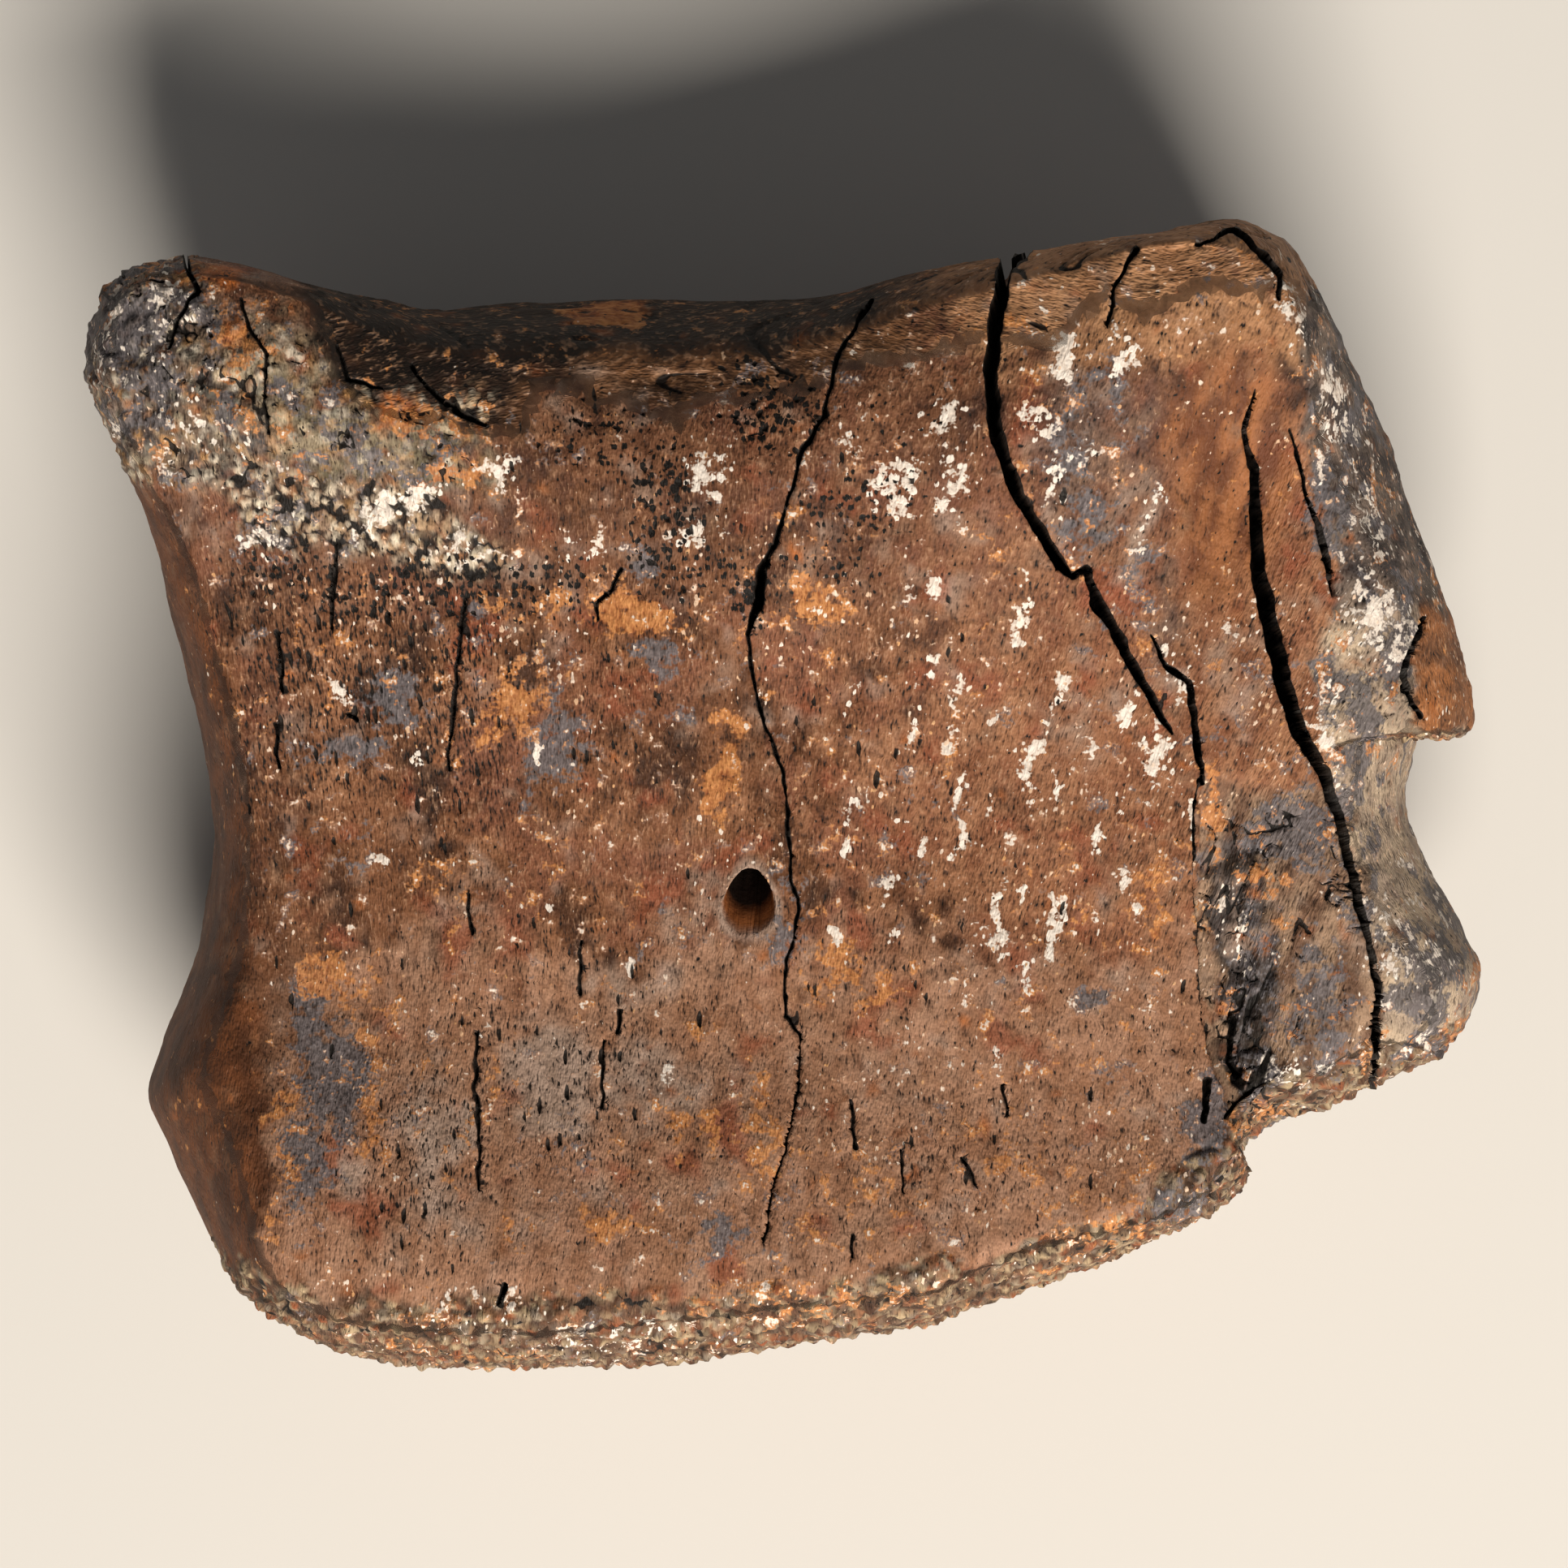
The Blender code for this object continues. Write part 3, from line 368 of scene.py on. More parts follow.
# Borders between the large areas of the back, from point to point.
PLATE_BORDER: Rows = (
    (45.0, -21.0), (44.8, -13.5), (43.4, -7.3), (41.9, -1.3), (40.6, 3.6), (40.2, 9.1), (41.3, 17.1),
    (40.1, 23.1), (38.9, 30.5), (38.3, 36.6), (39.5, 40.0),
)
SHOULDER: Rows = (
    (-38.3, -34.8), (-38.6, -28.7), (-38.6, -20.8), (-39.8, -10.4), (-40.4, -1.3), (-41.6, 7.9),
    (-44.4, 17.0), (-48.6, 25.6), (-53.0, 30.0),
)
# Lower edge of the painted shade over the tip edge, which faces away from the key light.
PAINTED_TIP_SHADE_BORDER: Rows = (
    (-38.0, 38.5), (-35.5, 33.2), (-32.5, 29.8), (-27.0, 28.4), (-22.1, 28.0), (-19.7, 31.1), (-14.8, 33.4),
    (-8.1, 33.8), (-0.2, 32.9), (4.7, 35.0), (8.4, 36.6), (16.9, 38.6), (30.0, 41.6), (36.0, 43.0),
)
CRUMB_BORDER: Rows = (
    (-44.0, -33.0), (-40.4, -36.0), (-34.3, -37.9), (-27.0, -38.6), (-19.7, -38.0), (-12.4, -37.7),
    (-5.0, -37.7), (2.3, -37.1), (8.4, -36.0), (14.5, -34.7), (20.6, -33.0), (26.7, -30.5), (31.0, -27.2),
    (33.3, -23.9), (36.4, -21.5), (41.3, -20.0), (46.2, -19.0), (51.7, -16.6),
)
# The lower edge of the layered band at the tip: places along x and the height in the picture at each.
BAND_EDGE = ((-36.0, -24.0, -10.0, 5.0, 16.0, 36.0), (31.0, 26.5, 29.5, 30.0, 34.5, 37.5))

# What the material reads about each point, three to an attribute, because each attribute costs render time.
ATTRIBUTES: dict[str, tuple[str, str, str]] = {
    "stains": ("slate", "ochre", "chalk"),
    "openings": ("gap", "hole", "spongy"),
    "texture": ("slits", "speckle", "smooth"),
}


@dataclass(frozen=True)
class Ramp:
    """A smooth rise from 0 at one value to 1 at another, or a fall where the second value is the lower."""

    start: float
    end: float

    def of(self, value: Array) -> Array:
        """Height at each value, an S curve: t squared times (3 - 2t)."""
        part = np.clip((value - self.start) / (self.end - self.start), 0, 1)
        return part * part * (3 - 2 * part)


def to_linear(colour: str) -> tuple[float, float, float, float]:
    """Turns a colour as a screen shows it into the one that light is reckoned in.

    Args:
        colour: hex code such as "#2f1a0e".

    Returns:
        Linear red, green and blue, and full cover: a part over 12.92 where it is dark, else a power of 2.4.
    """
    parts = np.array([int(colour[i : i + 2], 16) for i in (1, 3, 5)]) / 255
    red, green, blue = np.where(parts <= 0.04045, parts / 12.92, ((parts + 0.055) / 1.055) ** 2.4)
    return float(red), float(green), float(blue), 1.0


def pick_tint(tints: tuple[str, ...], level: Array) -> Array:
    """Linear colours from a row of tints that stand evenly between level 0 and 1, blended."""
    table = np.array([to_linear(tint)[:3] for tint in tints])
    return np.stack([np.interp(level, np.linspace(0, 1, len(table)), channel) for channel in table.T], 1)


def in_batches(work: Callable[[Array], Array], points: Array) -> Array:
    """Does the work on the points in small batches side by side, and joins the results in order.

    Args:
        work: takes some of the points and gives back one row for each.
        points: all the points.

    Returns:
        The rows of all the points.
    """
    batch, hands = 12_000, 4
    batches = np.array_split(points, max(1, len(points) // batch))
    with ThreadPoolExecutor(hands) as pool:
        return np.concatenate(list(pool.map(work, batches)))


class Lattice:
    """Random numbers for the corners of an endless cubic lattice."""

    SIZE = 4096

    def __init__(self, seed: int) -> None:
        """Shuffles the numbers, from the starting number of a random run."""
        self.rng = np.random.default_rng(seed)
        self.order = self.rng.permutation(self.SIZE)

    def pick(self, corner: Array) -> Array:
        """Number of each whole-numbered corner, from three looks into the shuffled list."""
        x, y, z = corner.T % self.SIZE
        return self.order[(self.order[(self.order[x] + y) % self.SIZE] + z) % self.SIZE]


class Unevenness(Lattice):
    """Smooth random rise and fall: a random slope at each corner, eased from corner to corner."""

    GAIN = 1.6
    # A turn off the axes, so that the lattice never lines up with the grid of the skin.
    TURN = np.array(((0.36, 0.48, -0.8), (-0.8, 0.6, 0.0), (0.48, 0.64, 0.6)))

    def __init__(self, seed: int) -> None:
        """Draws a slope for each corner."""
        super().__init__(seed)
        slopes = self.rng.normal(size=(self.SIZE, 3))
        self.slopes = slopes / np.linalg.norm(slopes, axis=1)[:, None]

    def at(self, points: Array, size: float | Sizes) -> Array:
        """Height of the field, about -1 to 1, over cells of a size, turned off the axes if they are cubes."""
        turned = points if isinstance(size, tuple) else points @ self.TURN
        return in_batches(self.blend_corners, turned / np.array(size, float))

    def blend_corners(self, place: Array) -> Array:
        """Works out the field: slope times offset at the eight corners round a place, blended by an S curve,
        which is t cubed times (6t squared - 15t + 10).

        Args:
            place: places measured in cells.

        Returns:
            One height for each place.
        """
        cell = np.floor(place).astype(np.int64)
        part = place - cell
        ease = part**3 * (part * (part * 6 - 15) + 10)
        total = np.zeros(len(place))
        for corner in np.ndindex(2, 2, 2):
            weights = [ease[:, axis] if corner[axis] else 1 - ease[:, axis] for axis in range(3)]
            slope = self.slopes[self.pick(cell + corner)]
            total += weights[0] * weights[1] * weights[2] * np.einsum("ij,ij->i", slope, part - corner)
        return total * self.GAIN

    def layers(self, points: Array, size: float, count: int) -> Array:
        """Sum of layers of the field, each half as high and half as wide as the one before."""
        return sum(0.5**step * self.at(points, size / 2**step) for step in range(count))


@dataclass(frozen=True)
class Swell:
    """A random rise and fall of the surface or of its colour, in millimetres."""

    rise: float
    # Cell of the random field, or its three sides, and a shift so that no two swells are alike.
    size: float | Sizes
    shift: float = 0.0
    layers: int = 1

    def on(self, drawn: Unevenness, places: Array) -> Array:
        """Height that the random field gives at each place."""
        read, more = (drawn.at, ()) if isinstance(self.size, tuple) else (drawn.layers, (self.layers,))
        return self.rise * read(places + self.shift, self.size, *more)


@dataclass(frozen=True)
class Spots:
    """Spots of one kind, scattered one to a cell, in millimetres."""

    cell: Sizes
    half: Sizes
    shift: float = 0.0


class Scatter(Lattice):
    """Random places for spots, such as pores, slits and grains, and a random share for each spot."""

    # How near to the side of its cell a spot may stand.
    INSET = 0.12

    def __init__(self, seed: int) -> None:
        """Draws a spot and a share for each cell."""
        super().__init__(seed)
        self.spots = self.rng.uniform(self.INSET, 1 - self.INSET, (self.SIZE, 3))
        self.shares = self.rng.uniform(0, 1, self.SIZE)

    def near(self, points: Array, kind: Spots) -> tuple[Array, Array, Array]:
        """Finds the nearest two spots, measuring each offset in half-lengths of a spot.

        Args:
            points: places in millimetres.
            kind: cells and shape of the spots.

        Returns:
            Distance to the nearest spot, to the second, and the random share of the nearest.
        """
        sides, halves = np.array(kind.cell), np.array(kind.half)

        def search(places: Array) -> Array:
            """Looks through the cell of each place and the cells round it.

            Args:
                places: places measured in cells.

            Returns:
                The three results as columns.
            """
            cell = np.floor(places).astype(np.int64)
            first = np.full(len(places), 1e6)
            second = first.copy()
            share = np.zeros(len(places))
            for step in np.ndindex(3, 3, 3):
                corner = cell + step - 1
                number = self.pick(corner)
                offset = (corner + self.spots[number] - places) * (sides / halves)
                distance = np.sqrt(np.einsum("ij,ij->i", offset, offset))
                closer = distance < first
                second = np.where(closer, first, np.minimum(second, distance))
                share = np.where(closer, self.shares[number], share)
                first = np.minimum(first, distance)
            return np.stack([first, second, share], 1)

        first, second, share = in_batches(search, (points + kind.shift) / sides).T
        return first, second, share

    def luck(self, share: Array) -> Array:
        """A second random share for each spot: the first one picks it from the list."""
        return self.shares[(share * (self.SIZE - 1)).astype(int)]


class Fields:
    """All the random fields that the weathering is drawn from."""

    def __init__(self) -> None:
        """Draws each field from its own seed."""
        self.lumps = Unevenness(Seed.LUMPS)
        self.fibres = Unevenness(Seed.FIBRES)
        self.jags = Unevenness(Seed.JAGS)
        self.patches = Unevenness(Seed.PATCHES)
        self.hidden = Unevenness(Seed.HIDDEN_CRACKS)
        self.pores = Scatter(Seed.PORES)
        self.slits = Scatter(Seed.SLITS)
        self.grains = Scatter(Seed.GRAINS)

    def warp(self, seen: Array, height: Array, size: float, reach: float | Array) -> Array:
        """Shifts places by two samples of the jag field, so that outlines are ragged."""
        spots = np.column_stack([seen, height])
        return seen + reach * np.stack([self.jags.at(spots + lag, size) for lag in (0.0, 137.0)], 1)


@dataclass
class Skin:
    """Points of the bone's surface with what is known about each."""

    points: Array
    faces: Array
    below: Array
    outward: Array


@dataclass(frozen=True)
class BoneForm:
    """The worn outer form of the bone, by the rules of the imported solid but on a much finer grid."""

    cells_a_step: int = 28
    rows_above_rim: int = 44
    rows_below_rim: int = 74
    back_height: float = 38.6
    crown_drop: float = 3.0
    crown_half_width: float = 48.0
    sole_hollow: float = 4.8
    sole_pad_drop: float = 6.2
    sole_share: float = 0.8
    back_edge_smoothing: float = 1 / 60
    sole_edge_smoothing: float = 1 / 12
    rim_smoothing: float = 1 / 24
    rim_step_fade: float = 0.4
    flank_power: float = 1.8
    wall_power: float = 2.2
    foot_share: float = 0.3
    foot_steps: int = 500

    def smooth_run(self, rows: Rows) -> Array:
        """Points along a Catmull-Rom curve through the rows: a cubic between each two that takes its slopes
        from the rows on either side.

        Args:
            rows: points of the curve with whatever else changes along it.

        Returns:
            The rows of the finer run.
        """
        table = np.array(rows, float)
        run = np.vstack([2 * table[0] - table[1], table, 2 * table[-1] - table[-2]])
        along = np.linspace(0, len(table) - 1, self.cells_a_step * (len(table) - 1) + 1)
        start = np.minimum(along.astype(int), len(table) - 2)
        part = (along - start)[:, None]
        a, b, c, d = (run[start + step] for step in range(4))
        bend = 2 * a - 5 * b + 4 * c - d
        twist = 3 * b - a - 3 * c + d
        return 0.5 * (2 * b + (c - a) * part + bend * part**2 + twist * part**3)

    def back_at(self, x: Array, y: Array) -> Array:
        """Height of the back: a crown that drops with the square of x, with bell-shaped swellings on it.

        Args:
            x: places to the right.
            y: places towards the tip.

        Returns:
            Heights over the sole.
        """
        height = self.back_height - self.crown_drop * (x / self.crown_half_width) ** 2
        for middle_x, middle_y, half_x, half_y, rise in BACK_RELIEF:
            far = ((x - middle_x) / half_x) ** 2
            height = height + rise * np.exp(-far - ((y - middle_y) / half_y) ** 2)
        return height

    def sole_at(self, x: Array, y: Array) -> Array:
        """Height of the sole: a level roof less a bell at each pad.

        Args:
            x: places to the right.
            y: places towards the tip.

        Returns:
            Heights over the ground.
        """
        height = np.full(np.shape(x), self.sole_hollow)
        for middle_x, middle_y, half_x, half_y in SOLE_PADS:
            bell = np.exp(-(((x - middle_x) / half_x) ** 2) - ((y - middle_y) / half_y) ** 2)
            height = height - self.sole_pad_drop * bell
        return height

    @staticmethod
    def fill(ring: Array, across: int, along: int) -> Array:
        """Grid inside a closed ring: the sum of both ruled fills less the flat fill of the four corners.

        Args:
            ring: edge points, anticlockwise from the first corner.
            across: cells of the first side.
            along: cells of the second side.

        Returns:
            Grid of points, across + 1 by along + 1.
        """
        low = ring[: across + 1]
        right = ring[across : across + along + 1]
        high = ring[across + along : 2 * across + along + 1][::-1]
        left = np.vstack([ring[2 * across + along :], ring[:1]])[::-1]
        s = np.linspace(0, 1, across + 1)[:, None, None]
        t = np.linspace(0, 1, along + 1)[None, :, None]
        corners = (1 - t) * ((1 - s) * low[0] + s * low[-1]) + t * ((1 - s) * high[0] + s * high[-1])
        return (1 - t) * low[:, None] + t * high[:, None] + (1 - s) * left[None] + s * right[None] - corners

    @staticmethod
    def even_out(ring: Array, share: float) -> Array:
        """Running average of a closed ring, from running sums.

        Args:
            ring: points of the ring.
            share: the part of its length that each average reaches to either side.

        Returns:
            The evened points.
        """
        reach = max(1, round(len(ring) * share))
        wrapped = np.vstack([ring[-reach:], ring, ring[:reach]])
        sums = np.vstack([np.zeros((1, ring.shape[1])), np.cumsum(wrapped, axis=0)])
        return (sums[2 * reach + 1 :] - sums[: -2 * reach - 1]) / (2 * reach + 1)

    def even_turns(self) -> Array:
        """Turns down a wall, 0 at the rim and 1 at the foot, that stand evenly along it: the running length
        of a quarter oval, whose foot is a share of its height, read backwards.

        Returns:
            One turn for each row and one more.
        """
        fine = np.linspace(0, 1, self.foot_steps)
        angle = fine * np.pi / 2
        length = np.cumsum(np.hypot(np.cos(angle), self.foot_share * np.sin(angle)))
        return np.interp(np.linspace(length[0], length[-1], self.rows_below_rim + 1), length, fine)

    @staticmethod
    def press(points: Array) -> Array:
        """Pushes bell-shaped hollows into the flanks and adds slow sine waves, never going below the sole.

        Args:
            points: the smooth surface.

        Returns:
            The moved points.
        """
        moved = points.copy()
        for x, y, z, half_x, half_y, half_z, push in FLANK_HOLLOWS:
            offset = (points - (x, y, z)) / (half_x, half_y, half_z)
            moved += np.exp(-(offset**2).sum(1))[:, None] * np.array(push)
        outward = points - points.mean(0)
        outward /= np.linalg.norm(outward, axis=1)[:, None]
        for *turns, rise in WAVES:
            moved += rise * np.sin(2 * np.pi * MM * points @ np.array(turns))[:, None] * outward
        moved[:, 2] = np.maximum(moved[:, 2], 0)
        return moved

    def walls(self, rim: Array, upper: Array, lower: Array) -> tuple[Array, list[Array]]:
        """Rows of a wall of quarter superellipses, from the ring of the back out to the rim and from there in
        to the ring of the sole: inset and level are one minus the sine and the cosine, each to a power.

        Args:
            rim: the widest line, with its heights.
            upper: ring of the back.
            lower: ring of the sole.

        Returns:
            The turn of each row, 0 at the back, 1 at the rim and 2 at the sole, and the points of each row.
        """
        even_rim = self.even_out(rim, self.rim_smoothing)
        above = np.linspace(0, 1, self.rows_above_rim + 1)[1:]
        turns = np.concatenate([above, 1 + self.even_turns()[1:-1]])
        rows = []
        for turn in turns:
            below = max(0.0, turn - 1)
            edge, power = (lower, self.wall_power) if below else (upper, self.flank_power)
            kept = max(0.0, 1 - below / self.rim_step_fade)
            line = even_rim + (rim - even_rim) * kept
            inset = 1 - np.sin(turn * np.pi / 2) ** (2 / power)
            level = np.abs(np.cos(turn * np.pi / 2)) ** (2 / power)
            plan = line[:, :2] + (edge[:, :2] - line[:, :2]) * inset
            rows.append(np.column_stack([plan, line[:, 2] + (edge[:, 2] - line[:, 2]) * level]))
        return turns, rows

    def build(self) -> Skin:
        """Makes the closed surface: a back and a sole that fill their rings, and a wall between them.

        Returns:
            The skin in table millimetres.
        """
        low, right, high, left = (self.smooth_run(rows) for rows in (ROOT_RIM, RIGHT_RIM, TIP_RIM, LEFT_RIM))
        across, along = len(low) - 1, len(left) - 1
        rim = np.vstack([low[:-1], right[:-1], high[:0:-1], left[:0:-1]])
        reach = np.linalg.norm(rim[:, :2], axis=1)
        back_ring = self.even_out(rim[:, :2] * (1 - rim[:, 3] / reach)[:, None], self.back_edge_smoothing)
        sole_ring = self.even_out(rim[:, :2], self.sole_edge_smoothing) * self.sole_share
        back, sole = (self.fill(ring, across, along).reshape(-1, 2) for ring in (back_ring, sole_ring))
        back = np.column_stack([back, self.back_at(*back.T)])
        sole = np.column_stack([sole, self.sole_at(*sole.T)])

        corner = np.arange(len(back)).reshape(across + 1, along + 1)
        ring = np.concatenate([corner[:-1, 0], corner[-1, :-1], corner[:0:-1, -1], corner[0, :0:-1]])
        turns, rows = self.walls(rim, back[ring], sole[ring])
        rings = [ring]
        rings += [2 * len(back) + row * len(rim) + np.arange(len(rim)) for row in range(len(rows))]
        rings.append(ring + len(back))
        grid = np.stack([corner[:-1, :-1], corner[1:, :-1], corner[1:, 1:], corner[:-1, 1:]], -1)
        grid = grid.reshape(-1, 4)
        walls = [
            np.stack([upper, lower, np.roll(lower, -1), np.roll(upper, -1)], 1)
            for upper, lower in zip(rings[:-1], rings[1:])
        ]
        points = self.press(np.vstack([back, sole, *rows]))
        faces = np.vstack([grid, grid[:, ::-1] + len(back), *walls])
        on_wall = np.repeat(np.maximum(turns - 1, 0), len(rim))
        below = np.concatenate([np.zeros(len(back)), np.ones(len(sole)), on_wall])
        return Skin(points, faces, below, self.normals(points, faces))

    @staticmethod
    def normals(points: Array, faces: Array) -> Array:
        """Unit normal at each point: the sum of the cross products of the diagonals of its faces.

        Args:
            points: the surface.
            faces: four corners of each face.

        Returns:
            Three columns.
        """
        spots = points[faces]
        across = np.cross(spots[:, 2] - spots[:, 0], spots[:, 3] - spots[:, 1])
        total = [
            sum(np.bincount(faces[:, k], across[:, axis], len(points)) for k in range(4)) for axis in range(3)
        ]
        total = np.stack(total, 1)
        return total / np.linalg.norm(total, axis=1)[:, None]


@dataclass(frozen=True)
class Sight:
    """How the camera above sees a place: higher points stand further from the axis."""

    camera_height: float = 515.0
    sharp_height: float = 24.0
    axis: tuple[float, float] = (0.2135, 0.8235)
    rim: Ramp = Ramp(0.04, 0.3)

    def seen(self, points: Array) -> Array:
        """Places as the camera sees them: the offset from the axis grows as one over the distance."""
        growth = (self.camera_height - self.sharp_height) / (self.camera_height - points[:, 2])
        return np.array(self.axis) + (points[:, :2] - self.axis) * growth[:, None]

    def share(self, below: Array) -> Array:
        """How much of each point the camera sees: 1 on the back, fading to 0 below the rim."""
        return 1 - self.rim.of(below)


@dataclass(frozen=True)
class Marks:
    """How patches and streaks of the tables fade out over their edges."""

    fade: Ramp = Ramp(0.25, 1.7)
    reach: float = 1.75

    def ovals(self, seen: Array, rows: Rows) -> Array:
        """Strength of the strongest oval at each place, full inside and fading out over its edge.

        Args:
            seen: places as the camera sees them, two columns.
            rows: the ovals.

        Returns:
            Strength from 0 up.
        """
        mask = np.zeros(len(seen))
        for x, y, half_x, half_y, turn, strength in rows:
            reach = self.reach * max(half_x, half_y)
            inside = np.flatnonzero((abs(seen[:, 0] - x) < reach) & (abs(seen[:, 1] - y) < reach))
            offset = seen[inside] - (x, y)
            cos, sin = np.cos(np.radians(turn)), np.sin(np.radians(turn))
            across = (offset[:, 0] * cos - offset[:, 1] * sin) / half_x
            along = (offset[:, 0] * sin + offset[:, 1] * cos) / half_y
            value = strength * (1 - self.fade.of(np.hypot(across, along)))
            mask[inside] = np.maximum(mask[inside], value)
        return mask

    def streaks(self, seen: Array, rows: Rows) -> Array:
        """Strength of the strongest streak at each place: full on its line and fading out to either side.

        Args:
            seen: places as the camera sees them, two columns.
            rows: the streaks.

        Returns:
            Strength from 0 up.
        """
        mask = np.zeros(len(seen))
        for x, y, end_x, end_y, half, strength in rows:
            low = np.minimum((x, y), (end_x, end_y)) - self.reach * half
            high = np.maximum((x, y), (end_x, end_y)) + self.reach * half
            near = np.flatnonzero(((seen > low) & (seen < high)).all(1))
            run = np.array((end_x - x, end_y - y))
            offset = seen[near] - (x, y)
            part = np.clip(offset @ run / (run @ run), 0, 1)
            distance = np.linalg.norm(offset - part[:, None] * run, axis=1)
            mask[near] = np.maximum(mask[near], strength * (1 - self.fade.of(distance / half)))
        return mask


def past(border: Rows, seen: Array, along: Axis) -> Array:
    """Millimetres of each place past a border, measured along the other axis than the one it is read by."""
    table = np.array(sorted(border, key=lambda point: point[along]))
    return seen[:, 1 - along] - np.interp(seen[:, along], table[:, along], table[:, 1 - along])


@dataclass
class CrackField:
    """Distances to the nearest crack."""

    gap: Array
    drop: Array
    offset: Array
    half: Array


@dataclass(frozen=True)
class CrackWork:
    """Turns the table of cracks into gaps and depths on the skin, in millimetres."""

    reach: float = 2.0
    least_half: float = 0.075
    depth_per_width: float = 9.0
    # The skin isn't thinned out within this distance of the lips of a crack that is at least this deep.
    kept_whole: float = 0.34
    deep: float = 1.1
    # Half of the skin's grid: points this near to a lip, or to the middle, are moved onto it. Outside the lip
    # they may be this much further off.
    snap: float = 0.11
    snap_out: float = 1.7
    wall_bend: float = 0.4
    # Cell and reach of the ragged shift, and how far a crack leans over as it runs down a flank.
    jags: Rows = ((1.5, 0.22), (0.55, 0.077))
    lean: float = 0.15

    def measure(self, seen: Array) -> CrackField:
        """Distance of each place to each stretch of each crack, keeping the nearest edge.

        Args:
            seen: jagged places as the camera sees them, two columns.

        Returns:
            The field of all cracks together.
        """
        count = len(seen)
        found = CrackField(np.full(count, self.reach), np.zeros(count), np.zeros((count, 2)), np.zeros(count))
        for depth, rows in CRACKS.values():
            table = np.array(rows, float)
            low, high = table[:, :2].min(0) - self.reach, table[:, :2].max(0) + self.reach
            near = np.flatnonzero(((seen > low) & (seen < high)).all(1))
            spots = seen[near]
            for start, end in zip(table[:-1], table[1:]):
                run = end[:2] - start[:2]
                part = np.clip((spots - start[:2]) @ run / (run @ run), 0, 1)
                offset = spots - start[:2] - part[:, None] * run
                distance = np.linalg.norm(offset, axis=1)
                width = start[2] + (end[2] - start[2]) * part
                half = np.maximum(width / 2, self.least_half)
                gap = distance - half
                nearer = gap < found.gap[near]
                chosen = near[nearer]
                found.gap[chosen] = gap[nearer]
                found.half[chosen] = half[nearer]
                found.offset[chosen] = offset[nearer]
                found.drop[chosen] = np.minimum(depth, self.depth_per_width * width[nearer])
        return found

    def open_up(self, found: CrackField) -> tuple[Array, Array, Array]:
        """Moves points near the lips onto them and points near the middle onto it, and sinks those inside.

        Args:
            found: distances to the cracks.

        Returns:
            Sideways shift, two columns, the depth to sink by, and the gap after the shift.
        """
        tiny = 1e-6
        distance = found.gap + found.half
        middle = distance < self.snap
        lip = (found.gap > -self.snap) & (found.gap < self.snap_out * self.snap) & ~middle
        inside = middle | (found.gap < -self.snap)
        shift = np.zeros_like(found.offset)
        narrow = middle & (found.half < 2 * self.snap)
        shift[narrow] = -found.offset[narrow]
        unit = found.offset[lip] / np.maximum(distance[lip], tiny)[:, None]
        shift[lip] = -found.gap[lip][:, None] * unit
        inward = np.clip(-found.gap / np.maximum(found.half, tiny), 0, 1)
        share = np.where(middle, 1, inward**self.wall_bend)
        gap = np.where(lip, 0.0, np.where(narrow, -found.half, found.gap))
        return shift, np.where(inside, found.drop * share, 0), gap


@dataclass(frozen=True)
class NutrientHole:
    """The hole that fed the living bone: an oval mouth whose tube slants down towards the tip."""

    centre: tuple[float, float] = (-2.45, -8.0)
    halves: tuple[float, float] = (1.92, 2.45)
    depth: float = 7.0
    slant: Sizes = (0.05, 0.8, -1.0)
    narrowing: float = 0.24
    funnel: float = 0.6
    # The lip is a bell round the mouth: its height in millimetres, its place and its width in radii.
    lip_rise: float = 0.16
    lip_radius: float = 1.12
    lip_width: float = 0.2
    jag: tuple[float, float] = (1.8, 0.14)

    def dig(self, seen: Array) -> tuple[Array, Array, Array]:
        """Push of the tube, from nothing at its mouth to its full depth, with a low raised lip round it.

        Args:
            seen: places as the camera sees them.

        Returns:
            The push in millimetres, three columns, how far in each place is, 0 to 1, and how near the lip.
        """
        offset = (seen - self.centre) / self.halves
        radius = np.hypot(offset[:, 0] / (1 - self.narrowing * np.clip(offset[:, 1], -1, 1)), offset[:, 1])
        dug = np.clip((1 - radius) / self.funnel, 0, 1)
        lip = np.exp(-(((radius - self.lip_radius) / self.lip_width) ** 2))
        push = self.depth * dug[:, None] * np.array(self.slant)
        push[:, 2] += self.lip_rise * lip
        return push, dug, lip


@dataclass(frozen=True)
class Fibres:
    """The way that the bone's fibres run: lengthwise, fanning out towards the tip, and across it in the thin
    layers of the tip edge."""

    # Where the fan opens, over what length, how much wider it gets each millimetre, and more on the right.
    fan_start: float = -12.0
    fan_ease: float = 8.0
    fan: float = 0.0045
    fan_more: float = 0.0075
    right_side: Ramp = Ramp(-8.0, 16.0)
    layer_tilt: float = 0.8
    layer_depth: float = 0.6
    layer_shift: float = 200.0

    def way(self, points: Array) -> Array:
        """Places measured across and along the fibres: x is divided by a width that grows with y.

        Args:
            points: places in table millimetres.

        Returns:
            Places across the fibres, along them and up.
        """
        x, y, z = points.T
        rise = y - self.fan_start
        open_out = (rise + np.sqrt(rise * rise + self.fan_ease**2)) / 2
        fan = self.fan + self.fan_more * self.right_side.of(x)
        return np.column_stack([x / (1 + fan * open_out), y, z])

    def along_tip(self, points: Array) -> Array:
        """Places measured over and along the thin layers of the tip edge, which run across the bone."""
        x, y, z = points.T
        return np.column_stack([y + self.layer_tilt * z + self.layer_shift, x, self.layer_depth * z])


